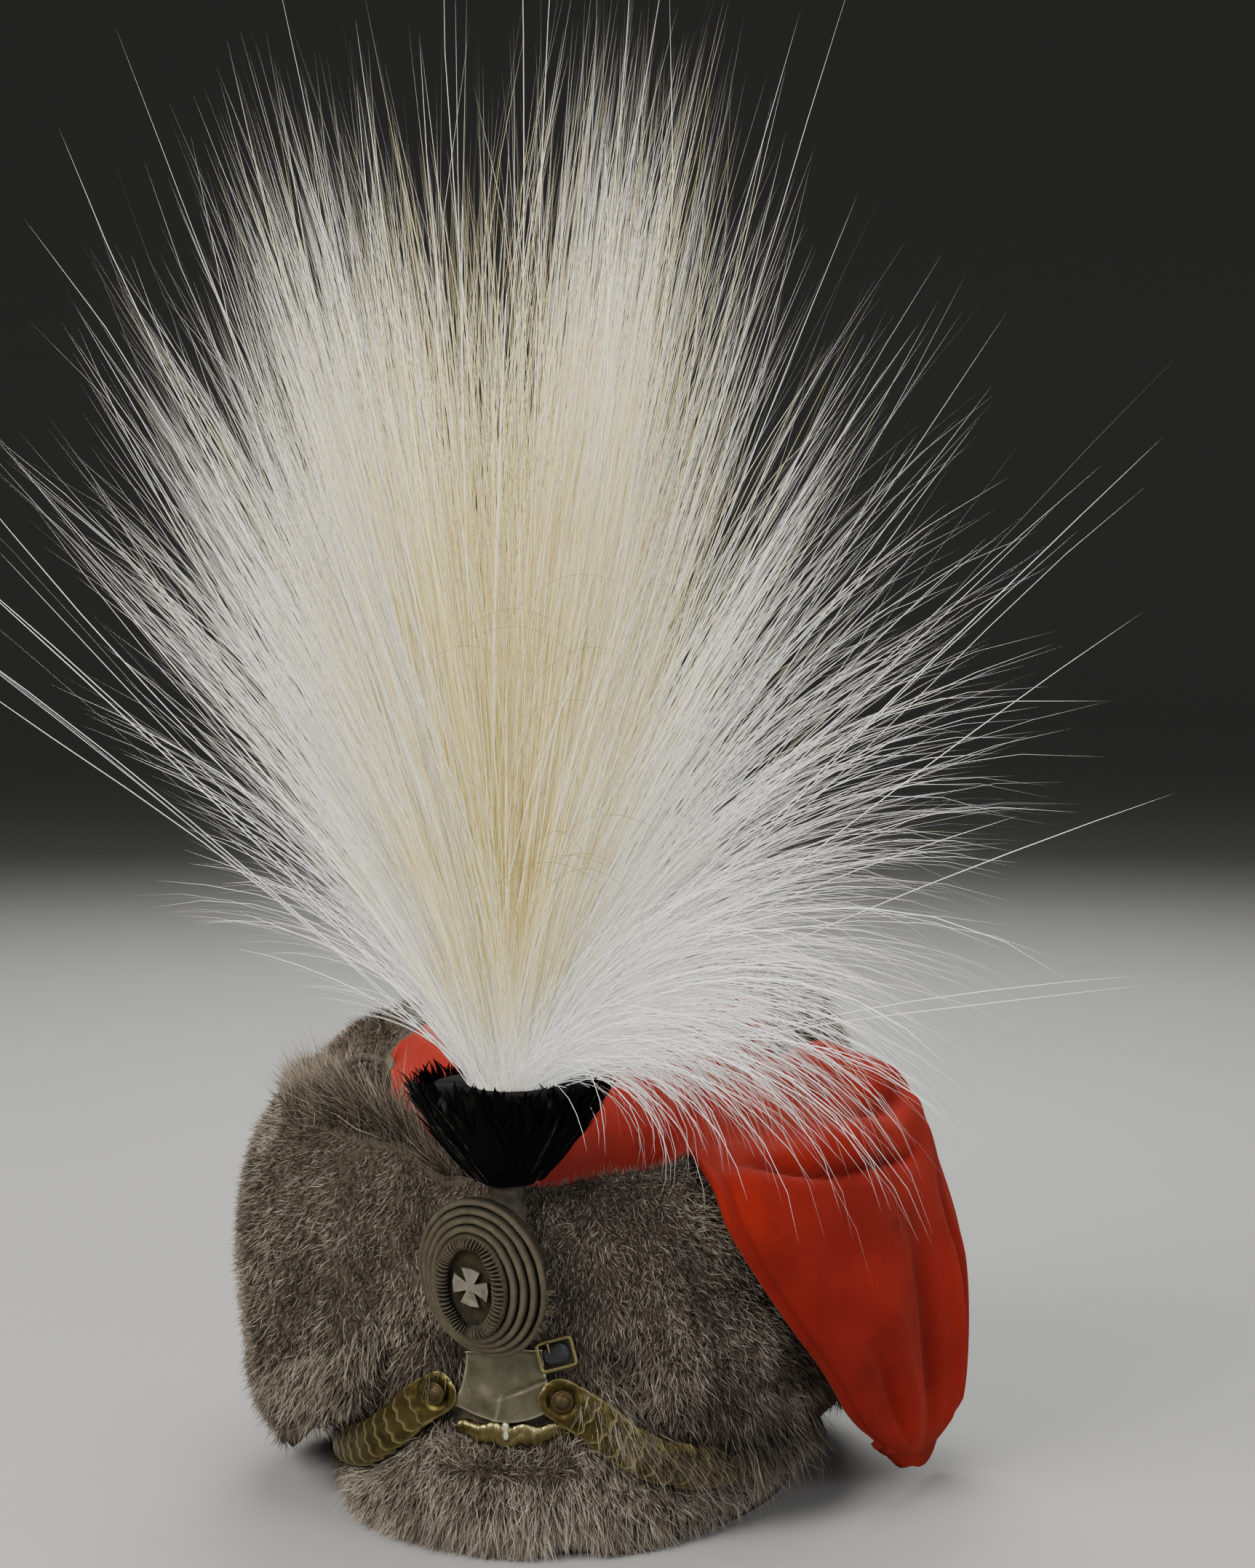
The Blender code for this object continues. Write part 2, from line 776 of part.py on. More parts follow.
def plume(parent, cutters):
    """White plume, one body: a head with locks in tiers, upright in the middle and arching at the sides."""
    base = cup_base() + Vector((0, 0, CUP_HEIGHT))
    head = plume_head(base, parent)
    for count, lean, length, sag, width, first_azimuth in PLUME_TIERS:
        for number in range(count):
            azimuth = first_azimuth + 360 * number / count
            side = 1 + PLUME_RIGHT_REACH * math.sin(math.radians(azimuth)) * math.sin(math.radians(lean))
            reach = PLUME_HEIGHT * length * side * (1 - LOCK_ODD_SHORTER * (number % 2))
            route, outward = plume_lock_points(base, azimuth, lean, reach, PLUME_HEIGHT * sag)
            widths = [LOCK_HALF_WIDTH * width * share for share in LOCK_WIDTHS]
            rings = tapered_lock(route, widths, LOCK_THICKNESS_SHARE, LOCK_SIDES, outward)
            mesh = mesh_from("plume_lock", rings, ring_faces(LOCK_STEPS, LOCK_SIDES, False))
            joined_union(head, add_object("plume_lock", mesh, plume_material(), cutters))
    return head


def feather_cup(parent, cutters):
    """Cup of short black feathers: a funnel with a socket for the plume and blades along its side."""
    base = cup_base()
    socket = PLUME_FOOT_RADIUS + GAP
    floor = CUP_HEIGHT - CUP_SOCKET_DEPTH
    wall = [(CUP_TOP_RADIUS * radius, CUP_HEIGHT * height) for radius, height in CUP_PROFILE]
    profile = [(0, floor), (socket, floor), (socket, CUP_HEIGHT), *wall, (CUP_BOTTOM_RADIUS, 0), (0, 0)]
    made = turned("feather_cup", profile, CUP_SIDES, black_feather_material(), parent)
    applied_mesh(made)
    made.data.transform(Matrix.Translation(base))
    for number in range(CUP_BLADES):
        angle = 2 * math.pi * (number + 0.5) / CUP_BLADES
        outward = Vector((math.sin(angle), -math.cos(angle), 0))
        taller = 1 + CUP_BLADE_STAGGER * (number % 2)
        route = []
        for radius, height, _ in CUP_BLADE_ROUTE:
            rise = Vector((0, 0, CUP_HEIGHT * height * taller))
            route.append(base + outward * CUP_TOP_RADIUS * radius + rise)
        widths = [CUP_BLADE_WIDTH * row[2] for row in CUP_BLADE_ROUTE]
        rings = tapered_lock(route, widths, LOCK_THICKNESS_SHARE, CUP_BLADE_SIDES, outward)
        mesh = mesh_from("cup_blade", rings, ring_faces(len(route), CUP_BLADE_SIDES, False))
        joined_union(made, add_object("cup_blade", mesh, black_feather_material(), cutters))
    return made


def cockade_frame():
    """Frame of the cockade: local Z along its own axis, its back against the stem and the fur."""
    yaw = math.radians(COCKADE_AZIMUTH + COCKADE_YAW)
    pitch = math.radians(COCKADE_PITCH)
    outward = Vector((math.sin(yaw) * math.cos(pitch), -math.cos(yaw) * math.cos(pitch), math.sin(pitch)))
    clear = GAP + 2 * STEM_RADIUS + GAP
    spread = COCKADE_HALF_WIDTH * abs(math.sin(yaw)) * COCKADE_TURN_SHARE
    origin = seat_point(COCKADE_AZIMUTH, COCKADE_CENTRE_HEIGHT, clear - spread + COCKADE_EDGE)
    roll = Matrix.Rotation(math.radians(COCKADE_ROLL), 4, "Z")
    return frame_at(origin, outward, Vector((0, 0, 1))) @ roll


def oval_radii(share):
    """Half width and half height of the cockade's oval at a share, longer in shape towards the centre."""
    longer = COCKADE_LONG * (1 - share) * min(share / COCKADE_HOLE_SHARE, 1.0)
    return COCKADE_HALF_WIDTH * share, COCKADE_HALF_HEIGHT * share + longer


def oval_turned(name, profile, steps, shade, parent):
    """Turned piece, one unit in radius, stretched to the cockade's oval and set in its frame."""
    made = turned(name, profile, steps, shade, parent)
    applied_mesh(made)
    for vertex in made.data.vertices:
        share = math.hypot(vertex.co.x, vertex.co.y)
        half_width, half_height = oval_radii(share)
        if share > MERGE:
            vertex.co.x *= half_width / share
            vertex.co.y *= half_height / share
    made.matrix_world = cockade_frame()
    smooth(made, 30)
    return made


def cockade_height(share):
    """Height of the cockade's domed face at a share of its half width."""
    return COCKADE_EDGE + COCKADE_RISE * (1 - share ** COCKADE_DOME_POWER)


def cockade_cords(parent):
    """Rounds of gimp cord laid side by side on the dome, as one ribbed ring."""
    band = (1 - COCKADE_HOLE_SHARE) / COCKADE_CORDS
    face = [(COCKADE_HOLE_SHARE, cockade_height(COCKADE_HOLE_SHARE) - COCKADE_CORD_RELIEF)]
    for number in range(COCKADE_CORDS):
        inner = COCKADE_HOLE_SHARE + band * number
        crest = inner + band / 2
        face.append((crest, cockade_height(crest) + COCKADE_CORD_RELIEF / 2))
        face.append((inner + band, cockade_height(inner + band) - COCKADE_CORD_RELIEF))
    loop = face + [(1.0, 0), (COCKADE_HOLE_SHARE, 0)]
    loop.append(face[0])
    return oval_turned("cockade_cords", loop, COCKADE_STEPS, gimp_material(), parent)


def field_share():
    return COCKADE_HOLE_SHARE - FIELD_CLEARANCE / COCKADE_HALF_WIDTH


def field_top():
    return cockade_height(COCKADE_HOLE_SHARE) - COCKADE_CORD_RELIEF


def cockade_field(parent):
    """Dark oval centre of the cockade, standing in the ring of cords."""
    share = field_share()
    profile = ((0, field_top()), (share, field_top() - GAP), (share, 0), (0, 0))
    return oval_turned("cockade_field", profile, COCKADE_STEPS, field_material(), parent)


def cockade_rope(parent):
    """Twisted rope round the dark centre, resting on the seam of the cords and the field."""
    height = field_top() + ROPE_RADIUS + ROPE_CLEARANCE
    half_width, half_height = oval_radii(COCKADE_HOLE_SHARE)
    points = []
    for ring in range(COCKADE_STEPS):
        angle = 2 * math.pi * ring / COCKADE_STEPS
        for side in range(ROPE_SIDES):
            turn = 2 * math.pi * (side + 0.5 * (ring % 2)) / ROPE_SIDES
            reach = ROPE_RADIUS * math.cos(turn)
            across = (half_width + reach) * math.cos(angle)
            upward = (half_height + reach) * math.sin(angle)
            points.append(Vector((across, upward, height + ROPE_RADIUS * math.sin(turn))))
    mesh = mesh_from("cockade_rope", points, ring_faces(COCKADE_STEPS, ROPE_SIDES, True))
    made = add_object("cockade_rope", mesh, gimp_material(), parent)
    made.matrix_world = cockade_frame()
    smooth(made, 80)
    return made


def cockade_cross(parent):
    """Small cross with flared arms on the dark centre."""
    half = CROSS_SIZE / 2
    waist = half * CROSS_WAIST_SHARE
    flare = half * CROSS_FLARE_SHARE
    shoulder = half * CROSS_SHOULDER_SHARE
    arm = [(waist, waist), (shoulder, flare), (half, 0), (shoulder, -flare)]
    outline = []
    for quarter in range(4):
        angle = -math.pi / 2 * quarter
        sine = math.sin(angle)
        cosine = math.cos(angle)
        outline.extend((x * cosine - y * sine, x * sine + y * cosine) for x, y in arm)
    place = cockade_frame() @ Matrix.Translation((0, 0, field_top() + GAP))
    return flat_outline("cockade_cross", outline, CROSS_THICKNESS, place, silver_material(), parent)


def scroll_plate(parent):
    """Bare metal scroll below the cockade, bent to the front of the cap, with its lower edge hung low."""

    def place(across, along):
        flare = 1 + PLATE_FOOT_FLARE * (1 - along) ** 2
        azimuth = PLATE_MIDDLE_AZIMUTH + PLATE_SPREAD * flare * (2 * across - 1)
        side = abs(2 * across - 1)
        bottom = PLATE_BOTTOM + PLATE_SIDE_RISE * side ** 2
        top = PLATE_BOTTOM + PLATE_HEIGHT * (1 - (1 - PLATE_LOW_SIDE_SHARE) * (1 - across))
        return seat_point(azimuth, bottom + (top - bottom) * along, GAP)

    return grid_sheet("scroll_plate", 8, 3, place, SHEET, plate_material(), parent)


def chin_bar(parent):
    """Brass strip under the scroll, thickest at its middle."""

    def place(across, along):
        azimuth = BAR_LEFT_AZIMUTH + (BAR_RIGHT_AZIMUTH - BAR_LEFT_AZIMUTH) * across
        middle = math.sin(math.pi * across)
        height = BAR_HEIGHT * (BAR_END_SHARE + (1 - BAR_END_SHARE) * middle)
        top = PLATE_BOTTOM - GAP * 2
        return seat_point(azimuth, top - height * (1 - along), GAP)

    return grid_sheet("chin_bar", 8, 2, place, BAR_THICKNESS, brass_material(), parent)


def bar_pin(parent):
    """Short upright pin on the middle of the brass strip."""
    height = PLATE_BOTTOM - GAP * 2 - BAR_HEIGHT / 2
    middle = seat_point(PIN_AZIMUTH, height, 2 * GAP + BAR_THICKNESS + PIN_RADIUS)
    work = bmesh.new()
    tip = PIN_RADIUS * PIN_TIP_SHARE
    bmesh.ops.create_cone(
        work, cap_ends=True, segments=PIN_SIDES, radius1=PIN_RADIUS, radius2=tip, depth=PIN_LENGTH
    )
    mesh = bpy.data.meshes.new("bar_pin")
    work.to_mesh(mesh)
    work.free()
    made = add_object("bar_pin", mesh, brass_material(), parent)
    made.location = middle
    return made


def buckle_place(lift):
    height = PLATE_BOTTOM + PLATE_HEIGHT * BUCKLE_LEVEL_SHARE
    tilt = Matrix.Rotation(math.radians(BUCKLE_TILT), 4, "Z")
    spot = seat_point(BUCKLE_AZIMUTH, height, lift)
    return frame_at(spot, seat_normal(BUCKLE_AZIMUTH), Vector((0, 0, 1))) @ tilt


def rectangle(width, height):
    side = width / 2
    top = height / 2
    return [(-side, -top), (side, -top), (side, top), (-side, top)]


def buckle_frame(parent):
    """Rectangular brass buckle frame at the right end of the scroll."""
    outer = rectangle(BUCKLE_WIDTH, BUCKLE_HEIGHT)
    inner = rectangle(BUCKLE_WIDTH - 2 * BUCKLE_BAR, BUCKLE_HEIGHT - 2 * BUCKLE_BAR)
    place = buckle_place(3 * GAP + SHEET)
    return flat_outline("buckle_frame", outer, BUCKLE_BAR, place, brass_material(), parent, (inner,))


def strap_end(parent):
    """Black leather strap end that shows inside the buckle."""
    width = BUCKLE_WIDTH - 2 * BUCKLE_BAR - 2 * GAP
    height = BUCKLE_HEIGHT - 2 * BUCKLE_BAR - 2 * GAP
    place = buckle_place(3 * GAP + SHEET)
    return flat_outline(
        "strap_end", rectangle(width, height), STRAP_END_THICKNESS, place, leather_material(), parent
    )


def buckle_tongue(parent):
    """Buckle tongue, lying across the strap end with its point on the frame."""
    reach = BUCKLE_HEIGHT - BUCKLE_BAR
    place = buckle_place(4 * GAP + SHEET + BUCKLE_BAR)
    shift = Matrix.Translation((-BUCKLE_WIDTH * TONGUE_SIDE_SHARE, 0, 0))
    outline = rectangle(TONGUE_RADIUS * 2, reach)
    place = place @ shift
    return flat_outline("buckle_tongue", outline, TONGUE_RADIUS * 2, place, brass_material(), parent)


def chin_samples(side):
    """Fine points along one half of the chin strap, with the run of length from the lug."""
    first = CHIN_ROUTE[0][0]
    last = CHIN_ROUTE[-1][0]
    points = []
    for step in range(STRAP_SAMPLES + 1):
        azimuth = first + (last - first) * step / STRAP_SAMPLES
        height = FUR_HEIGHT * table_value(CHIN_ROUTE, azimuth, 1)
        points.append(seat_point(side * azimuth, height, 0))
    run = [0.0]
    for low, high in zip(points, points[1:]):
        run.append(run[-1] + (high - low).length)
    return points, run


def chin_place(samples, run, across, lift):
    """Point at a run along the strap, moved across it and lifted off the cap, straight past the ends."""
    points, lengths = samples
    index = min(max(int(np.searchsorted(lengths, run)) - 1, 0), len(points) - 2)
    span = lengths[index + 1] - lengths[index]
    along = points[index + 1] - points[index]
    spot = points[index] + along * ((run - lengths[index]) / span)
    azimuth = math.degrees(math.atan2(spot.x / SEAT_HALF_WIDTH, -spot.y / SEAT_HALF_LENGTH))
    normal = seat_normal(azimuth)
    width = along.normalized().cross(normal).normalized()
    if width.z < 0:
        width = -width
    return spot + normal * lift + width * across


def chin_strap(name, side, parent):
    """Leather half of the chin strap, from under the lug round to its fixing at the side of the cap."""
    samples = chin_samples(side)
    length = samples[1][-1]

    def place(across, along):
        return chin_place(samples, length * along, STRAP_WIDTH * (across - 0.5), GAP)

    return grid_sheet(name, 1, STRAP_ROWS, place, SHEET, leather_material(), parent, turned_over=side > 0)


def scale_lift(run, start, away):
    """Lift of a scale's under face: arched across, and rising so that it lies over the next one's root."""
    slope = (SCALE_THICKNESS + GAP) / SCALE_PITCH
    arch = SCALE_ARCH * (1 - (2 * away / SCALE_WIDTH) ** 2)
    return 3 * GAP + SHEET + slope * max(run - start, 0.0) + arch


def chin_scale(name, side, number, parent):
    """One brass scale with a round free end."""
    samples = chin_samples(side)
    start = SCALE_PITCH * number

    def place(across, along):
        run = start + SCALE_LENGTH * along
        bend = max(along - SCALE_STRAIGHT_SHARE, 0.0) / (1 - SCALE_STRAIGHT_SHARE)
        away = SCALE_WIDTH / 2 * math.sqrt(1 - SCALE_ROUNDNESS * bend * bend) * (2 * across - 1)
        return chin_place(samples, run, away, scale_lift(run, start, away))

    return grid_sheet(name, 3, 3, place, SCALE_THICKNESS, brass_material(), parent, turned_over=side > 0)


def chin_lug(name, side, parent):
    """Round-ended brass lug over the first scale."""
    samples = chin_samples(side)
    start = -LUG_RADIUS
    length = LUG_RADIUS + SCALE_LENGTH * LUG_SCALE_SHARE

    def place(across, along):
        run = start + length * along
        inside = max(min(run / LUG_RADIUS, 0.0), -1.0)
        away = LUG_RADIUS * math.sqrt(max(1 - LUG_ROUNDNESS * inside * inside, 0)) * (2 * across - 1)
        return chin_place(samples, run, away, scale_lift(run, 0.0, away))

    return grid_sheet(name, 4, 6, place, SCALE_THICKNESS, brass_material(), parent, turned_over=side > 0)


def lug_stud(name, side, parent):
    """Low round stud on the lug."""
    samples = chin_samples(side)
    centre = chin_place(samples, 0.0, 0.0, scale_lift(0.0, 0.0, 0.0) + SCALE_THICKNESS + 2 * GAP)
    azimuth = math.degrees(math.atan2(centre.x / SEAT_HALF_WIDTH, -centre.y / SEAT_HALF_LENGTH))
    profile = [(STUD_RADIUS * radius, STUD_RADIUS * height) for radius, height in STUD_PROFILE]
    made = turned(name, profile, STUD_SIDES, brass_material(), parent)
    made.matrix_world = frame_at(centre, seat_normal(azimuth), Vector((0, 0, 1)))
    smooth(made)
    return made


def chin_half(word, side, count, parent):
    """Strap, lug, stud and scales of one side."""
    chin_strap(f"chin_strap_{word}", side, parent)
    chin_lug(f"chin_lug_{word}", side, parent)
    lug_stud(f"lug_stud_{word}", side, parent)
    for number in range(1, count + 1):
        chin_scale(f"chin_scale_{word}_{number:02d}", side, number, parent)


def rim_loop(parent):
    """Cord loop standing on the left of the rim, with its foot on the fur."""
    foot = seat_point(LOOP_AZIMUTH, rim_height(LOOP_AZIMUTH) - LOCK_DROOP, -LEDGE_WIDTH / 2)
    bpy.ops.mesh.primitive_torus_add(
        major_radius=LOOP_RADIUS,
        minor_radius=LOOP_CORD_RADIUS,
        major_segments=LOOP_SIDES,
        minor_segments=LOOP_CORD_SIDES,
    )
    made = bpy.context.active_object
    made.name = "rim_loop"
    made.data.name = "rim_loop"
    made.data.materials.append(cord_material())
    for holder in list(made.users_collection):
        holder.objects.unlink(made)
    parent.objects.link(made)
    centre = foot + Vector((0, 0, LOOP_RADIUS + LOOP_CORD_RADIUS + GAP))
    made.matrix_world = frame_at(centre, Vector(LOOP_FACING).normalized(), Vector((0, 0, 1)))
    smooth(made, 80)
    return made


def build():
    clear_scene()
    parts = collection("plumed_fur_hat")
    cutters = collection("shapes_to_join")
    fur_body(parts)
    bag(parts)
    plume_stem(parts)
    feather_cup(parts, cutters)
    plume(parts, cutters)
    cockade_cords(parts)
    cockade_field(parts)
    cockade_rope(parts)
    cockade_cross(parts)
    scroll_plate(parts)
    chin_bar(parts)
    bar_pin(parts)
    buckle_frame(parts)
    strap_end(parts)
    buckle_tongue(parts)
    chin_half("left", -1, LEFT_SCALES, parts)
    chin_half("right", 1, RIGHT_SCALES, parts)
    rim_loop(parts)


build()
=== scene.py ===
"""Looks of the plumed fur hat, laid out as a Blender add-on: hair, cloth, plume, cords and metal.

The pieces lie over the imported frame. Each new one is a surface worked out with numpy from the sizes below,
which repeat the frame's own sizes. Azimuths are degrees from the front towards the bag's side, and lifts
are distances outside the cap's seat oval.
"""

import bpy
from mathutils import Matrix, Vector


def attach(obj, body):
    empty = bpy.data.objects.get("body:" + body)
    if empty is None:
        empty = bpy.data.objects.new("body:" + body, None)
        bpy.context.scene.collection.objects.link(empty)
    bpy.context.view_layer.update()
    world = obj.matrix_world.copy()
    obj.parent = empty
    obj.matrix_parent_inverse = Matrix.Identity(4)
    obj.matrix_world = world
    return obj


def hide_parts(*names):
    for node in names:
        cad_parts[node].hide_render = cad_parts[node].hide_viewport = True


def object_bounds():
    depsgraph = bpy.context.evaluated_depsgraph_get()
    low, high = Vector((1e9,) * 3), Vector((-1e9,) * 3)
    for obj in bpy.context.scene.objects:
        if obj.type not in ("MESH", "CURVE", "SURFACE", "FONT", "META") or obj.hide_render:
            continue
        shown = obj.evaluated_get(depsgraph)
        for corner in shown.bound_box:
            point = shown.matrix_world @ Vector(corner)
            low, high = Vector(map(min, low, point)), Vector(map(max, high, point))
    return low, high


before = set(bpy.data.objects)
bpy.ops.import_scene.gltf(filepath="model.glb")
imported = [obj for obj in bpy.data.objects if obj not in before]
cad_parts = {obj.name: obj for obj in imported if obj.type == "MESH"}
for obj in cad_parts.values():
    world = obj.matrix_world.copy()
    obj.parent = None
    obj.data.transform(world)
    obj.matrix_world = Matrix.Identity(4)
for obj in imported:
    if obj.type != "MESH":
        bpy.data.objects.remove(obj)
CAD_BOX = [list(corner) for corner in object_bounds()]

import math

import bpy
import numpy as np
from mathutils import Matrix, Vector

bl_info = {
    "name": "Plumed Fur Hat",
    "version": (1, 0, 0),
    "blender": (4, 5, 0),
    "location": "View3D > Sidebar > Fur Hat",
    "description": "Builds the hair, plume, bag, cockade and metalwork of a plumed fur hat",
    "category": "Object",
}

BODY = "root"
GAP = 0.0003

# The photo's camera: its turn about upright, its pitch, and its place right of, ahead of and above the
# origin
VIEW_TURN = math.radians(13.0)
VIEW_PITCH = math.radians(4.1)
VIEW_PLACE = (0.0203, -1.150, 0.350)
VIEW_RIGHT = np.array([math.cos(VIEW_TURN), math.sin(VIEW_TURN), 0])
VIEW_AHEAD = np.array([-math.sin(VIEW_TURN), math.cos(VIEW_TURN), 0])
UPWARD = np.array([0, 0, 1.0])

# Cap and fur
HEAD_HALF_WIDTH = 0.078
HEAD_HALF_LENGTH = 0.098
CROWN_TAPER = 0.006
SEAT_HALF_WIDTH = 0.088
SEAT_HALF_LENGTH = 0.113
FUR_HEIGHT = 0.186
FUR_BULGE = 0.046
LOBE_SAG = 0.042
LOBE_SAG_RISE = 0.10
LOBE_SAG_FADE = 2.5
LOBE_ROUNDNESS = 0.42
LEDGE_DROP = 0.010
LEDGE_WIDTH = 0.008
LOCK_DROOP = 0.0030
RIM_LEVEL = 0.08
LOBE_LEVEL = 0.64
BAND_LEVEL = 0.76
HEM_LEVEL = 0.84
HEM_FLARE = 0.006
HEM_SIDE_FLARE_SHARE = 0.15
HEM_FRONT_SPAN = 50.0
HEM_RAGGED = 0.007
HEM_EDGE = 0.0008
HEM_CLEARANCE = 0.0025

# Bag
BAG_THICKNESS = 0.0025
CROWN_SEAT_SHARE = 0.20
CROWN_CLEARANCE = 0.0010
BAG_CROWN_RISE = 0.009
CROWN_FIRST_SHARE = 0.04
DOME_FIRST_SHARE = 0.06
DOME_LAST_SHARE = 0.76
BAG_MOUTH_SHARE = 0.42
BAG_TUCK = 0.040
BAG_TIP_ROUNDING = 0.25
BAG_OUT = 0.064
BAG_TIP_HEIGHT = 0.008
BAG_CREST_CLEARANCE = 0.0012
BAG_CORNER_RISE = 0.010
BAG_TIP_START = 0.70
BAG_TIP_NARROWING = 0.66
BAG_END_SHARE = 0.9

# Plume, cup and stem
CUP_HEIGHT = 0.036
STEM_RADIUS = 0.0065
STEM_LENGTH = 0.036
STEM_AZIMUTH = 3.5
# Emission strength of the plume's strands: painted light that brightens their shaded depths in place of light
# passing through them.
PLUME_GLOW = 0.24

# Cockade
COCKADE_HALF_WIDTH = 0.0265
COCKADE_HALF_HEIGHT = 0.0300
COCKADE_RISE = 0.0120
COCKADE_EDGE = 0.0030
COCKADE_CORDS = 5
COCKADE_HOLE_SHARE = 0.44
COCKADE_LONG = 0.0070
COCKADE_DOME_POWER = 1.6
COCKADE_CORD_RELIEF = 0.0012
COCKADE_YAW = -17.0
COCKADE_PITCH = -12.0
COCKADE_ROLL = -9.0
COCKADE_TURN_SHARE = 0.5
COCKADE_CENTRE_HEIGHT = 0.105
ROPE_RADIUS = 0.0021

# Front metalwork and chin scales
SHEET = 0.0010
PLATE_HEIGHT = 0.0265
PLATE_BOTTOM = 0.0500
PLATE_MIDDLE_AZIMUTH = 1.6
PLATE_SPREAD = 8.8
PLATE_FOOT_FLARE = 0.42
BAR_HEIGHT = 0.0070
BUCKLE_AZIMUTH = 13.4
BUCKLE_TILT = 14.0
BUCKLE_WIDTH = 0.0135
BUCKLE_HEIGHT = 0.0112
BUCKLE_LEVEL_SHARE = 0.92
SCALE_WIDTH = 0.0160
SCALE_LENGTH = 0.0125
SCALE_PITCH = 0.0075
SCALE_THICKNESS = 0.0008
SCALE_ARCH = 0.0006
LUG_RADIUS = 0.0080
STUD_RADIUS = 0.0042
LEFT_SCALES = 9
RIGHT_SCALES = 11
LOOP_AZIMUTH = -47.0
LOOP_RADIUS = 0.0085
LOOP_CORD_RADIUS = 0.0019
LOOP_FACING = (0.25, -1.0, 0.15)

# Columns: azimuth, bulge as a share of FUR_BULGE, rim and lobe foot as shares of FUR_HEIGHT
FUR_SECTIONS = (
    (-172, 0.42, 0.990, 0.160),
    (-140, 0.62, 1.000, 0.160),
    (-112, 0.88, 0.930, 0.165),
    (-84, 1.00, 0.850, 0.170),
    (-62, 0.86, 0.840, 0.185),
    (-40, 0.50, 0.830, 0.270),
    (-26, 0.20, 0.800, 0.400),
    (-13, 0.00, 0.740, 0.430),
    (13, 0.00, 0.725, 0.430),
    (26, 0.20, 0.745, 0.400),
    (40, 0.40, 0.755, 0.270),
    (62, 0.46, 0.750, 0.185),
    (86, 0.50, 0.790, 0.170),
    (108, 0.62, 0.880, 0.165),
    (128, 0.82, 1.000, 0.160),
    (160, 0.46, 1.010, 0.160),
)

# Columns: azimuth away from the front, height of the chin strap as a share of FUR_HEIGHT
CHIN_ROUTE = (
    (14.5, 0.310),
    (21.0, 0.272),
    (28.0, 0.220),
    (36.0, 0.176),
    (46.0, 0.146),
    (60.0, 0.130),
    (78.0, 0.124),
    (97.0, 0.120),
)

# Columns: azimuth, height of the hem's lock tips as a share of HEM_RAGGED
HEM_TIPS = (
    (-150, 0.2),
    (-95, 0.5),
    (-60, 0.9),
    (-36, 0.3),
    (-14, 0.6),
    (3, 0.0),
    (17, 1.4),
    (27, 0.1),
    (44, 0.7),
    (70, 1.0),
    (110, 0.3),
    (160, 0.4),
)

# Columns: share of the drop, front and back azimuths, front and back lifts as shares of BAG_OUT
BAG_FLAP = (
    (-0.08, 44, 106, -0.06, -0.06),
    (0.00, 44, 106, 0.06, 0.12),
    (0.07, 43, 106, 0.32, 0.50),
    (0.17, 44, 105, 0.42, 0.66),
    (0.32, 50, 105, 0.44, 0.80),
    (0.47, 57, 105, 0.46, 0.91),
    (0.62, 65, 105, 0.47, 0.96),
    (0.78, 72, 105, 0.49, 0.96),
    (0.91, 77, 105, 0.52, 0.92),
    (1.00, 79.5, 105, 0.55, 0.86),
)

# Columns: share across and drop where a fold starts, the same where it ends, half width across it,
# depth in metres
BAG_FOLDS = (
    (0.40, -0.01, 0.99, 0.105, 0.014, -0.0058),
    (0.04, 0.030, 0.78, 0.165, 0.014, -0.0052),
    (0.10, 0.005, 0.90, 0.120, 0.022, 0.0030),
    (0.60, 0.300, 0.50, 0.900, 0.055, -0.0046),
    (0.76, 0.300, 0.68, 0.930, 0.045, 0.0040),
    (0.88, 0.260, 0.83, 0.900, 0.035, -0.0044),
    (0.36, 0.420, 0.34, 0.880, 0.060, 0.0030),
    (0.24, 0.560, 0.24, 0.900, 0.032, -0.0022),
)

# Columns: lean from upright in degrees, reach on the left and on the right in metres
PLUME_REACH = (
    (0, 0.378, 0.380),
    (10, 0.372, 0.378),
    (18, 0.352, 0.350),
    (26, 0.330, 0.318),
    (34, 0.306, 0.302),
    (45, 0.280, 0.288),
    (57, 0.235, 0.270),
    (68, 0.195, 0.248),
    (80, 0.150, 0.222),
    (95, 0.100, 0.180),
    (125, 0.060, 0.140),
)

# Columns: lean in the view from the front (left is less than 0), half spread, share of the heart's strands
PLUME_BUNCHES = (
    (-15.0, 1.7, 0.13),
    (-9.5, 1.8, 0.13),
    (-4.5, 1.6, 0.08),
    (-0.8, 0.8, 0.03),
    (6.4, 1.5, 0.22),
    (11.6, 1.3, 0.11),
    (17.5, 1.9, 0.09),
    (24.0, 2.2, 0.07),
    (-21.0, 2.4, 0.08),
    (-27.0, 2.6, 0.06),
)

# Columns: lean in the view from the front (left is less than 0), density of the outer strands there
PLUME_DENSITY = (
    (-98, 0.00),
    (-76, 0.00),
    (-66, 0.10),
    (-56, 0.34),
    (-44, 0.60),
    (-30, 0.90),
    (-15, 0.30),
    (15, 0.30),
    (30, 0.80),
    (45, 0.62),
    (58, 0.52),
    (72, 0.50),
    (86, 0.38),
    (100, 0.16),
    (118, 0.00),
)


def unit(vectors):
    return vectors / np.maximum(np.linalg.norm(vectors, axis=-1, keepdims=True), 1e-12)


def full_turn(count):
    """Angles spread evenly round a full turn, from 0."""
    return np.linspace(0, 2 * np.pi, count, endpoint=False)


def share_grid(columns, rows):
    """Shares from 0 to 1 across and along a grid."""
    return np.meshgrid(np.linspace(0, 1, columns), np.linspace(0, 1, rows), indexing="ij")


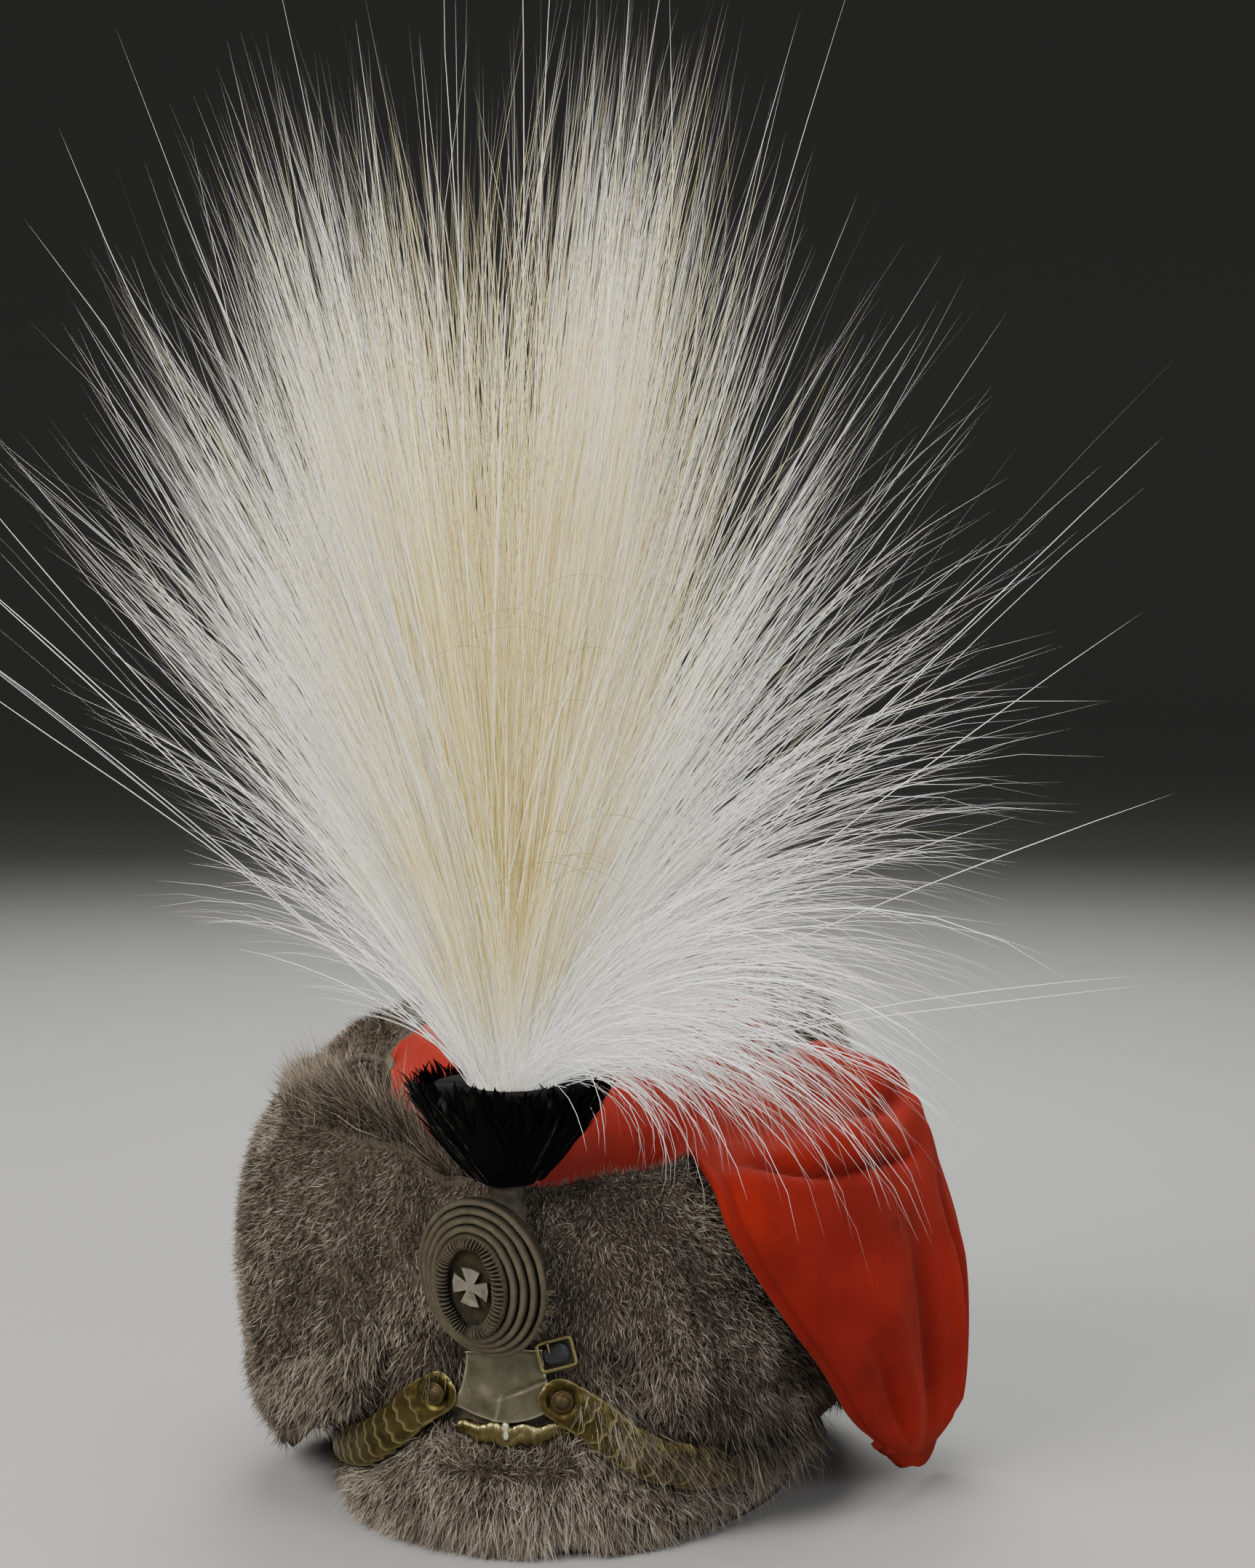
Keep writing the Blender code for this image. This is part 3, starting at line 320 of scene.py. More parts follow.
def ring_value(table, azimuth, column):
    """Cosine easing from row to row round the ring, for an array of azimuths."""
    rows = np.array(table, float)
    stations = np.append(rows[:, 0], rows[0, 0] + 360)
    values = np.append(rows[:, column], rows[0, column])
    turn = (azimuth - stations[0]) % 360 + stations[0]
    index = np.clip(np.searchsorted(stations, turn) - 1, 0, len(rows) - 1)
    share = (turn - stations[index]) / (stations[index + 1] - stations[index])
    return values[index] + (values[index + 1] - values[index]) * (1 - np.cos(np.pi * share)) / 2


def table_value(table, station, column):
    """Cubic curve through the rows, with the slope at each row taken from the rows on both sides."""
    rows = np.array(table, float)
    stations, values = rows[:, 0], rows[:, column]
    slopes = np.empty(len(rows))
    slopes[1:-1] = (values[2:] - values[:-2]) / (stations[2:] - stations[:-2])
    slopes[0] = (values[1] - values[0]) / (stations[1] - stations[0])
    slopes[-1] = (values[-1] - values[-2]) / (stations[-1] - stations[-2])
    index = np.clip(np.searchsorted(stations, station) - 1, 0, len(rows) - 2)
    span = stations[index + 1] - stations[index]
    s = (station - stations[index]) / span
    return (
        (2 * s ** 3 - 3 * s ** 2 + 1) * values[index]
        + (s ** 3 - 2 * s ** 2 + s) * slopes[index] * span
        + (3 * s ** 2 - 2 * s ** 3) * values[index + 1]
        + (s ** 3 - s ** 2) * slopes[index + 1] * span
    )


def oval(half_width, half_length, azimuth, height):
    angle = np.radians(azimuth)
    return np.stack([half_width * np.sin(angle), -half_length * np.cos(angle), height + 0 * angle], -1)


def seat(azimuth, height, lift):
    """Point at a height that lies lift outside the seat oval."""
    return oval(SEAT_HALF_WIDTH + lift, SEAT_HALF_LENGTH + lift, azimuth, height)


def seat_normal(azimuth):
    angle = np.radians(azimuth)
    return unit(
        np.stack([np.sin(angle) / SEAT_HALF_WIDTH, -np.cos(angle) / SEAT_HALF_LENGTH, 0 * angle], -1)
    )


def rim_height(azimuth):
    return FUR_HEIGHT * ring_value(FUR_SECTIONS, azimuth, 2)


def rolling_noise(first, second, seed, waves=9, low=1.0, high=6.0):
    """Sum of sine waves in two parameters, with seeded directions and phases, from about -1 to 1."""
    random = np.random.default_rng(seed)
    total = np.zeros(np.broadcast(first, second).shape)
    for _ in range(waves):
        turn = random.uniform(0, 2 * np.pi)
        pace = random.uniform(low, high)
        total += np.sin(
            pace * (first * np.cos(turn) + second * np.sin(turn)) + random.uniform(0, 2 * np.pi)
        )
    return total / math.sqrt(waves)


# Meshes from arrays


def grid_faces(across, along, wrap_across=False, wrap_along=False):
    """Quads of a grid whose points run along first, as rows of four indices."""
    first = np.arange(across if wrap_across else across - 1)
    second = np.arange(along if wrap_along else along - 1)
    i, j = np.meshgrid(first, second, indexing="ij")
    after_i, after_j = (i + 1) % across, (j + 1) % along
    return np.stack(
        [i * along + j, after_i * along + j, after_i * along + after_j, i * along + after_j], -1
    ).reshape(-1, 4)


def piece_from(
    name, points, quads, shade, node=None, triangles=None, values=None, uv=None, closed=False
):
    """Object from arrays: points, quads and triangles, a float attribute or a UV pair for each point.

    A closed surface is turned so that the volume inside it comes out above nought, which points its faces
    outward.
    """
    points = np.ascontiguousarray(points.reshape(-1, 3), np.float64)
    quads = quads.reshape(-1, 4)
    if closed:
        a, b, c, d = (points[quads[:, k]] for k in range(4))
        volume = np.einsum("ij,ij->", a, np.cross(b, c)) + np.einsum("ij,ij->", a, np.cross(c, d))
        if triangles is not None:
            e, f, g = (points[triangles[:, k]] for k in range(3))
            volume += np.einsum("ij,ij->", e, np.cross(f, g))
        if volume < 0:
            quads = quads[:, ::-1]
            triangles = None if triangles is None else triangles[:, ::-1]
    corners = quads.ravel()
    starts = np.arange(len(quads)) * 4
    if triangles is not None:
        starts = np.concatenate([starts, len(corners) + np.arange(len(triangles)) * 3])
        corners = np.concatenate([corners, triangles.ravel()])
    mesh = bpy.data.meshes.new(name)
    mesh.vertices.add(len(points))
    mesh.vertices.foreach_set("co", points.astype(np.float32).ravel())
    mesh.loops.add(len(corners))
    mesh.loops.foreach_set("vertex_index", corners.astype(np.int32))
    mesh.polygons.add(len(starts))
    mesh.polygons.foreach_set("loop_start", starts.astype(np.int32))
    mesh.update(calc_edges=True)
    mesh.validate()
    for word, array in (values or {}).items():
        layer = mesh.attributes.new(word, "FLOAT", "POINT")
        layer.data.foreach_set("value", np.ascontiguousarray(array.ravel(), np.float32))
    if uv is not None:
        layer = mesh.uv_layers.new(name="surface")
        layer.data.foreach_set("uv", np.ascontiguousarray(uv.reshape(-1, 2)[corners], np.float32).ravel())
    mesh.polygons.foreach_set("use_smooth", np.full(len(starts), True))
    mesh.materials.append(shade)
    made = bpy.data.objects.new(name, mesh)
    bpy.context.scene.collection.objects.link(made)
    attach(made, BODY)
    if node:
        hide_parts(*([node] if isinstance(node, str) else node))
    return made


def slab(outer, inner):
    """Closed shell between two grids of like shape: both faces and the rim that joins them."""
    across, along = outer.shape[:2]
    count = across * along
    face = grid_faces(across, along)
    index = np.arange(count).reshape(across, along)
    loop = np.concatenate([index[:-1, 0], index[-1, :-1], index[:0:-1, -1], index[0, :0:-1]])
    after = np.roll(loop, -1)
    rim = np.stack([loop, after, after + count, loop + count], -1)[:, ::-1]
    points = np.concatenate([outer.reshape(-1, 3), inner.reshape(-1, 3)])
    return points, np.concatenate([face, face[:, ::-1] + count, rim])


def grid_normals(points, wrap=False):
    """Normals of a grid from the cross product of its two differences."""
    if wrap:
        first = np.roll(points, -1, 0) - np.roll(points, 1, 0)
    else:
        first = np.gradient(points, axis=0)
    return unit(np.cross(first, np.gradient(points, axis=1)))


def tube(path, radius, sides, reference, closed=False, lobes=0, turns=0.0, depth=0.0):
    """Round profile carried along a path, with optional lobes that wind round it like a rope's strands.

    The radius is r (1 + depth cos(lobes (angle - turns u))), where u runs from 0 to 1 along the path.
    """
    count = len(path)
    if closed:
        tangent = unit(np.roll(path, -1, 0) - np.roll(path, 1, 0))
    else:
        tangent = unit(np.gradient(path, axis=0))
    reference = np.broadcast_to(np.asarray(reference, float), path.shape)
    first = unit(np.cross(tangent, reference))
    second = np.cross(first, tangent)
    angle = full_turn(sides)[None, :]
    share = (np.arange(count) / (count if closed else count - 1))[:, None]
    reach = np.broadcast_to(np.asarray(radius, float).reshape(-1, 1), (count, sides)).copy()
    reach = reach * (1 + depth * np.cos(lobes * angle - 2 * np.pi * turns * share))
    points = (
        path[:, None] + first[:, None] * (reach * np.cos(angle))[..., None]
        + second[:, None] * (reach * np.sin(angle))[..., None]
    )
    step = np.linalg.norm(np.diff(path, axis=0, append=path[:1] if closed else path[-1:]), axis=1)
    length = np.concatenate([[0], np.cumsum(step)[:-1]])
    uv = np.stack(np.broadcast_arrays(length[:, None], angle / (2 * np.pi)), -1)
    faces = grid_faces(count, sides, closed, True)
    return points.reshape(-1, 3), faces, uv.reshape(-1, 2)


def end_fans(count, sides):
    """Triangles that close both ends of count swept points, to the two points added after them."""
    side = np.arange(sides)
    after = (side + 1) % sides
    start = np.stack([np.full(sides, count), side, after], -1)
    end = np.stack([np.full(sides, count + 1), count - sides + after, count - sides + side], -1)
    return np.concatenate([start, end])


def capped_tube(path, radius, sides, reference, **twist):
    """Open tube whose two ends are closed by a fan of triangles to the path's own ends."""
    points, faces, uv = tube(path, radius, sides, reference, **twist)
    fans = end_fans(len(points), sides)
    points = np.concatenate([points, path[:1], path[-1:]])
    return points, faces, fans, np.concatenate([uv, uv[:1], uv[-1:]])


def joined(parts):
    """Several (points, quads, triangles, uv) sets as one, with their indices moved on."""
    shift = 0
    points, quads, triangles, uvs = [], [], [], []
    for part in parts:
        points.append(part[0])
        quads.append(part[1] + shift)
        if part[2] is not None:
            triangles.append(part[2] + shift)
        uvs.append(part[3])
        shift += len(part[0])
    triangles = np.concatenate(triangles) if triangles else None
    return np.concatenate(points), np.concatenate(quads), triangles, np.concatenate(uvs)


def blades(paths, widths, side, tone):
    """Thin blades, one along each path: two rows of points that close at the tip.

    paths is (blades, steps, 3), widths is (steps,) times (blades,), side the way each blade is wide.
    """
    count, steps = paths.shape[:2]
    half = widths[..., None] / 2 * side[:, None, :]
    left = paths[:, :-1] - half[:, :-1]
    right = paths[:, :-1] + half[:, :-1]
    body = np.stack([left, right], 2).reshape(count, -1, 3)
    points = np.concatenate([body, paths[:, -1:]], 1)
    per = 2 * (steps - 1) + 1
    base = (np.arange(count) * per)[:, None, None]
    row = (np.arange(steps - 2) * 2)[None, :, None]
    quads = (base + row + np.array([0, 1, 3, 2])[None, None, :]).reshape(-1, 4)
    last = per - 3
    triangles = (
        (np.arange(count) * per)[:, None] + np.array([last, last + 1, last + 2])[None, :]
    ).reshape(-1, 3)
    return points.reshape(-1, 3), quads, triangles, blade_values(tone)


def blade_values(rows):
    """A value for each step of each blade, as one for each of its points."""
    return np.concatenate([np.repeat(rows[:, :-1], 2, axis=1), rows[:, -1:]], 1).ravel()


# Materials


def group(name, inputs, outputs):
    """New shader node group with named sockets; returns it with its input and output nodes."""
    made = bpy.data.node_groups.new(name, "ShaderNodeTree")
    for word, kind, default in inputs:
        socket = made.interface.new_socket(word, in_out="INPUT", socket_type=kind)
        if default is not None:
            socket.default_value = default
    for word, kind in outputs:
        made.interface.new_socket(word, in_out="OUTPUT", socket_type=kind)
    return made, made.nodes.new("NodeGroupInput"), made.nodes.new("NodeGroupOutput")


def node(tree, kind, links=(), **settings):
    """Node of a tree; settings fill its properties or sockets, links join other outputs to its inputs."""
    made = tree.nodes.new(kind)
    for word, value in settings.items():
        if hasattr(made, word):
            setattr(made, word, value)
        else:
            made.inputs[word.replace("_", " ")].default_value = value
    for socket, source in links:
        tree.links.new(source, made.inputs[socket])
    return made


def math_node(tree, operation, first, second=None, third=None):
    made = tree.nodes.new("ShaderNodeMath")
    made.operation = operation
    for index, value in enumerate((first, second, third)):
        if value is None:
            continue
        if isinstance(value, (int, float)):
            made.inputs[index].default_value = value
        else:
            tree.links.new(value, made.inputs[index])
    return made.outputs[0]


def plus(tree, first, second):
    return math_node(tree, "ADD", first, second)


def times(tree, first, second):
    return math_node(tree, "MULTIPLY", first, second)


def mix_colour(tree, factor, first, second):
    made = tree.nodes.new("ShaderNodeMix")
    made.data_type = "RGBA"
    for socket, value in ((0, factor), (6, first), (7, second)):
        if isinstance(value, (int, float, tuple)):
            made.inputs[socket].default_value = value
        else:
            tree.links.new(value, made.inputs[socket])
    return made.outputs[2]


def grain_group():
    """Grain: coarse and fine noise on one vector, as a height and a mottling mask."""
    made, into, out = group(
        "Grain",
        [
            ("Vector", "NodeSocketVector", None), ("Coarse", "NodeSocketFloat", 40.0),
            ("Fine", "NodeSocketFloat", 900.0)
        ],
        [("Height", "NodeSocketFloat"), ("Mottle", "NodeSocketFloat")],
    )
    coarse = node(
        made, "ShaderNodeTexNoise", [("Vector", into.outputs[0]), ("Scale", into.outputs[1])], Detail=5.0,
        Roughness=0.6
    )
    fine = node(
        made, "ShaderNodeTexNoise", [("Vector", into.outputs[0]), ("Scale", into.outputs[2])], Detail=3.0,
        Roughness=0.7
    )
    made.links.new(
        plus(
            made, times(made, coarse.outputs[0], 0.6),
            times(made, fine.outputs[0], 0.4)
        ),
        out.inputs[0]
    )
    made.links.new(
        node(
            made, "ShaderNodeMapRange", [("Value", coarse.outputs[0])], From_Min=0.36, From_Max=0.66
        ).outputs[0],
        out.inputs[1]
    )
    return made


def wear_group():
    """Metal: colour darkened by dirt in a mottled mask, and brighter where the edge value is high."""
    made, into, out = group(
        "MetalWearAndHighlight",
        [
            ("Vector", "NodeSocketVector", None),
            ("Metal", "NodeSocketColor", (0.5, 0.4, 0.2, 1)),
            ("Dirt", "NodeSocketColor", (0.06, 0.05, 0.03, 1)),
            ("Bright", "NodeSocketColor", (0.8, 0.7, 0.4, 1)),
            ("Edge", "NodeSocketFloat", 0.0),
            ("Scale", "NodeSocketFloat", 180.0),
            ("Tarnish", "NodeSocketFloat", 0.5),
        ],
        [("Color", "NodeSocketColor"), ("Roughness", "NodeSocketFloat"), ("Height", "NodeSocketFloat")],
    )
    broad = node(
        made, "ShaderNodeTexNoise", [("Vector", into.outputs[0]), ("Scale", into.outputs[5])], Detail=6.0,
        Roughness=0.62
    )
    fine_scale = times(made, into.outputs[5], 9.0)
    fine = node(
        made, "ShaderNodeTexNoise", [("Vector", into.outputs[0]), ("Scale", fine_scale)], Detail=4.0,
        Roughness=0.7
    )
    spots = node(
        made, "ShaderNodeMapRange", [("Value", broad.outputs[0])], From_Min=0.38, From_Max=0.68
    ).outputs[0]
    dirty = times(made, spots, into.outputs[6])
    stained = mix_colour(made, dirty, into.outputs[1], into.outputs[2])
    # Brighter where the edge value is high: rubbed metal, and a painted highlight along edges and ridges.
    rubbed_and_highlit = times(
        made, into.outputs[4],
        plus(made, times(made, fine.outputs[0], 1.1), 0.25)
    )
    rubbed_and_highlit = node(made, "ShaderNodeClamp", [("Value", rubbed_and_highlit)]).outputs[0]
    made.links.new(mix_colour(made, rubbed_and_highlit, stained, into.outputs[3]), out.inputs[0])
    rough = plus(
        made, times(made, dirty, 0.34),
        times(made, fine.outputs[0], 0.22)
    )
    rough = math_node(
        made, "SUBTRACT", plus(made, rough, 0.24), times(made, rubbed_and_highlit, 0.16)
    )
    made.links.new(rough, out.inputs[1])
    made.links.new(
        plus(made, fine.outputs[0], times(made, broad.outputs[0], 2.0)),
        out.inputs[2]
    )
    return made


def cloth_group():
    """Felted weave: two crossed thread waves under a nap of fine noise, as a height and a thread mask."""
    made, into, out = group(
        "FeltedWeave",
        [
            ("Vector", "NodeSocketVector", None), ("Threads", "NodeSocketFloat", 1400.0),
            ("Nap", "NodeSocketFloat", 1600.0)
        ],
        [("Height", "NodeSocketFloat"), ("Threads", "NodeSocketFloat")],
    )
    parts = node(made, "ShaderNodeSeparateXYZ", [(0, into.outputs[0])])
    warp = math_node(made, "SINE", times(made, parts.outputs[0], into.outputs[1]))
    weft = math_node(made, "SINE", times(made, parts.outputs[1], into.outputs[1]))
    weave = times(made, warp, weft)
    nap = node(
        made, "ShaderNodeTexNoise", [("Vector", into.outputs[0]), ("Scale", into.outputs[2])], Detail=4.0,
        Roughness=0.75
    )
    made.links.new(
        plus(made, times(made, weave, 0.22), nap.outputs[0]), out.inputs[0]
    )
    made.links.new(math_node(made, "MULTIPLY_ADD", weave, 0.5, 0.5), out.inputs[1])
    return made


def wound_group():
    """Wound thread: ridges of fine wire that wind round a cord, from its length and turn as a UV pair."""
    made, into, out = group(
        "WoundThread",
        [
            ("UV", "NodeSocketVector", None), ("Turns", "NodeSocketFloat", 9000.0),
            ("Slant", "NodeSocketFloat", 6.2832)
        ],
        [("Height", "NodeSocketFloat"), ("Groove", "NodeSocketFloat")],
    )
    parts = node(made, "ShaderNodeSeparateXYZ", [(0, into.outputs[0])])
    wobble = node(made, "ShaderNodeTexNoise", [("Vector", into.outputs[0])], Scale=120.0, Detail=2.0)
    phase = plus(
        made, times(made, parts.outputs[0], into.outputs[1]),
        times(made, parts.outputs[1], into.outputs[2])
    )
    phase = plus(made, phase, times(made, wobble.outputs[0], 5.0))
    ridge = math_node(made, "ABSOLUTE", math_node(made, "SINE", phase))
    made.links.new(ridge, out.inputs[0])
    made.links.new(math_node(made, "SUBTRACT", 1.0, ridge), out.inputs[1])
    return made


GROUPS = {}


def groups():
    if not GROUPS:
        GROUPS.update(grain=grain_group(), wear=wear_group(), cloth=cloth_group(), wound=wound_group())
    return GROUPS


def material(name, roughness=0.6, metallic=0.0, specular=0.5, sheen=0.0):
    """Fresh Principled material; its tree, its shader and its Object coordinates come back with it."""
    made = bpy.data.materials.new(name)
    made.use_nodes = True
    tree = made.node_tree
    shader = tree.nodes["Principled BSDF"]
    shader.inputs["Roughness"].default_value = roughness
    shader.inputs["Metallic"].default_value = metallic
    shader.inputs["Specular IOR Level"].default_value = specular
    shader.inputs["Sheen Weight"].default_value = sheen
    place = tree.nodes.new("ShaderNodeTexCoord").outputs["Object"]
    return made, tree, shader, place


def place_group(tree, made, vector, **settings):
    placed = tree.nodes.new("ShaderNodeGroup")
    placed.node_tree = made
    tree.links.new(vector, placed.inputs[0])
    for word, value in settings.items():
        placed.inputs[word].default_value = value
    return placed


def add_bump(tree, shader, height, distance, strength=1.0):
    bump = tree.nodes.new("ShaderNodeBump")
    bump.inputs["Strength"].default_value = strength
    bump.inputs["Distance"].default_value = distance
    tree.links.new(height, bump.inputs["Height"])
    tree.links.new(bump.outputs[0], shader.inputs["Normal"])


def ramp(tree, factor, stops):
    made = tree.nodes.new("ShaderNodeValToRGB")
    while len(made.color_ramp.elements) < len(stops):
        made.color_ramp.elements.new(0.5)
    for element, (position, colour) in zip(made.color_ramp.elements, stops):
        element.position = position
        element.color = (*colour[:3], 1.0)
    tree.links.new(factor, made.inputs[0])
    return made.outputs[0]


def attribute(tree, word):
    made = tree.nodes.new("ShaderNodeAttribute")
    made.attribute_name = word
    return made.outputs["Fac"]


def hair_material(name, stops, roughness=0.5, specular=0.25, mottle=0.3, dim_and_glow=False):
    """Hair: colour from each strand's own tone, mottled by a broad noise so that no two patches match."""
    made, tree, shader, place = material(name, roughness, 0.0, specular)
    grain = place_group(tree, groups()["grain"], place, Coarse=38.0, Fine=700.0)
    tone = plus(
        tree, attribute(tree, "tone"),
        times(tree, math_node(tree, "SUBTRACT", grain.outputs[1], 0.5), mottle)
    )
    colour = ramp(tree, tone, stops)
    # For the plume, each strand is darkened by its own dim value at random, and its colour also glows:
    # painted light in place of light passing through the strands.
    if dim_and_glow:
        colour = mix_colour(tree, attribute(tree, "dim"), (0.0, 0.0, 0.0, 1.0), colour)
        tree.links.new(colour, shader.inputs["Emission Color"])
        shader.inputs["Emission Strength"].default_value = PLUME_GLOW
    tree.links.new(colour, shader.inputs["Base Color"])
    return made


def skin_material(settings):
    made, tree, shader, place = material("fur_undercoat", 0.95, 0.0, 0.05)
    grain = place_group(tree, groups()["grain"], place, Coarse=60.0, Fine=1400.0)
    # Undercoat in dark fur colours; where no hair grows round the metalwork, the bare skin shows as painted
    # shadow.
    tree.links.new(
        ramp(
            tree, grain.outputs[0],
            [
                (0.3, tuple(c * 0.8 for c in settings.dark[:3])),
                (0.75, tuple(c * 0.7 for c in settings.middle[:3]))
            ]
        ),
        shader.inputs["Base Color"]
    )
    add_bump(tree, shader, grain.outputs[0], 0.002)
    return made


def lining_material():
    made, tree, shader, place = material("cap_wall", 0.8, 0.0, 0.2)
    grain = place_group(tree, groups()["grain"], place, Coarse=45.0, Fine=1100.0)
    tree.links.new(
        ramp(tree, grain.outputs[1], [(0.0, (0.045, 0.034, 0.024)), (1.0, (0.10, 0.078, 0.055))]),
        shader.inputs["Base Color"]
    )
    add_bump(tree, shader, grain.outputs[0], 0.0006)
    return made


def cloth_material(settings):
    """Red wool: mottled, with painted shade deep in each crease and along the seam's groove, a felted nap and
    a few stains.
    """
    made, tree, shader, place = material("red_wool", 0.92, 0.0, 0.10, 0.10)
    shader.inputs["Sheen Roughness"].default_value = 0.5
    shader.inputs["Sheen Tint"].default_value = (1.0, 0.32, 0.2, 1.0)
    uv = tree.nodes.new("ShaderNodeUVMap")
    uv.uv_map = "surface"
    weave = place_group(tree, groups()["cloth"], uv.outputs[0], Threads=9000.0, Nap=1500.0)
    grain = place_group(tree, groups()["grain"], place, Coarse=22.0, Fine=420.0)
    red = settings.red[:3]
    base = mix_colour(tree, grain.outputs[1], (*(c * 0.62 for c in red), 1.0), (*red, 1.0))
    # Painted shade: darker red deep in the creases and along the seam's groove.
    shade = times(tree, attribute(tree, "fold_shade"), 0.70)
    base = mix_colour(tree, shade, base, (red[0] * 0.20, red[1] * 0.10, red[2] * 0.10, 1.0))
    spot = node(tree, "ShaderNodeTexNoise", [("Vector", place)], Scale=85.0, Detail=2.0)
    stain = node(
        tree, "ShaderNodeMapRange", [("Value", spot.outputs[0])], From_Min=0.70, From_Max=0.78, To_Max=0.5
    ).outputs[0]
    base = mix_colour(tree, stain, base, (red[0] * 0.25, red[1] * 0.5, red[2] * 0.6, 1.0))
    base = mix_colour(
        tree, times(tree, attribute(tree, "stain"), 0.7), base, (0.07, 0.012, 0.006, 1.0)
    )
    fibres = times(tree, weave.outputs[0], 0.12)
    base = mix_colour(tree, fibres, base, (min(red[0] * 1.5, 1.0), red[1] * 2.1, red[2] * 2.6, 1.0))
    tree.links.new(base, shader.inputs["Base Color"])
    add_bump(tree, shader, weave.outputs[0], 0.00035, 0.8)
    return made


def metal_material(name, metal, dirt, bright, tarnish, scale, metallic=1.0, distance=0.0002):
    made, tree, shader, place = material(name, 0.4, metallic)
    worn = place_group(
        tree, groups()["wear"], place, Metal=(*metal, 1), Dirt=(*dirt, 1), Bright=(*bright, 1), Scale=scale,
        Tarnish=tarnish
    )
    tree.links.new(attribute(tree, "edge"), worn.inputs["Edge"])
    tree.links.new(worn.outputs[0], shader.inputs["Base Color"])
    tree.links.new(worn.outputs[1], shader.inputs["Roughness"])
    add_bump(tree, shader, worn.outputs[2], distance, 0.6)
    return made


def gimp_material(name, metal, dark, turns, slant, metallic=0.55):
    """Metal thread: fine wire wound on a cord, tarnished in its grooves."""
    made, tree, shader, place = material(name, 0.45, metallic)
    uv = tree.nodes.new("ShaderNodeUVMap")
    uv.uv_map = "surface"
    wound = place_group(tree, groups()["wound"], uv.outputs[0], Turns=turns, Slant=slant)
    grain = place_group(tree, groups()["grain"], place, Coarse=160.0, Fine=2600.0)
    base = mix_colour(tree, grain.outputs[1], (*metal, 1.0), (*(c * 0.62 for c in metal), 1.0))
    base = mix_colour(tree, times(tree, wound.outputs[1], 0.75), base, (*dark, 1.0))
    # The dim value darkens the thread towards black: painted shade between the cockade's cords, on the
    # backing and in the rope's twists.
    base = mix_colour(tree, attribute(tree, "dim"), (0.002, 0.002, 0.001, 1.0), base)
    tree.links.new(base, shader.inputs["Base Color"])
    rough = plus(tree, times(tree, grain.outputs[1], 0.28), 0.34)
    tree.links.new(rough, shader.inputs["Roughness"])
    height = plus(tree, wound.outputs[0], times(tree, grain.outputs[0], 1.2))
    add_bump(tree, shader, height, 0.00028)
    return made


def plain_grain_material(name, dark, light, roughness, coarse, fine, distance, specular=0.4, sheen=0.0):
    made, tree, shader, place = material(name, roughness, 0.0, specular, sheen)
    grain = place_group(tree, groups()["grain"], place, Coarse=coarse, Fine=fine)
    tree.links.new(
        mix_colour(tree, grain.outputs[1], (*dark, 1.0), (*light, 1.0)), shader.inputs["Base Color"]
    )
    add_bump(tree, shader, grain.outputs[0], distance)
    return made


def feather_material():
    """Black feather: glossy, with fine barbs across each blade and grey painted glints where the tone value
    is high.
    """
    made, tree, shader, place = material("black_feather", 0.75, 0.0, 0.05)
    uv = tree.nodes.new("ShaderNodeUVMap")
    uv.uv_map = "surface"
    wound = place_group(tree, groups()["wound"], uv.outputs[0], Turns=9000.0, Slant=9.0)
    grain = place_group(tree, groups()["grain"], place, Coarse=210.0, Fine=2200.0)
    tone = times(tree, attribute(tree, "tone"), grain.outputs[1])
    tree.links.new(
        mix_colour(tree, tone, (0.0025, 0.0025, 0.003, 1.0), (0.11, 0.11, 0.10, 1.0)),
        shader.inputs["Base Color"]
    )
    add_bump(tree, shader, wound.outputs[0], 0.00012)
    return made


# Fur


def lobe_lift(azimuth, share):
    """Lift of the fur's face: bulge times 4 s (1 - s) to the power of the roundness.

    The share s runs from 0 at the lobe's foot to 1 at the rim.
    """
    inside = np.clip(share, 0, 1)
    return FUR_BULGE * ring_value(FUR_SECTIONS, azimuth, 1) * (4 * inside * (1 - inside)) ** LOBE_ROUNDNESS


def chin_height(azimuth):
    """Height of the chin strap's middle line; beyond the route's ends it stays as it is there."""
    away = np.clip(np.abs(azimuth), CHIN_ROUTE[0][0], CHIN_ROUTE[-1][0])
    return FUR_HEIGHT * table_value(CHIN_ROUTE, away, 1)


def hem_top(azimuth):
    under_scales = chin_height((azimuth + 180) % 360 - 180) - SCALE_WIDTH / 2
    return np.minimum(under_scales, PLATE_BOTTOM - BAR_HEIGHT) - HEM_CLEARANCE


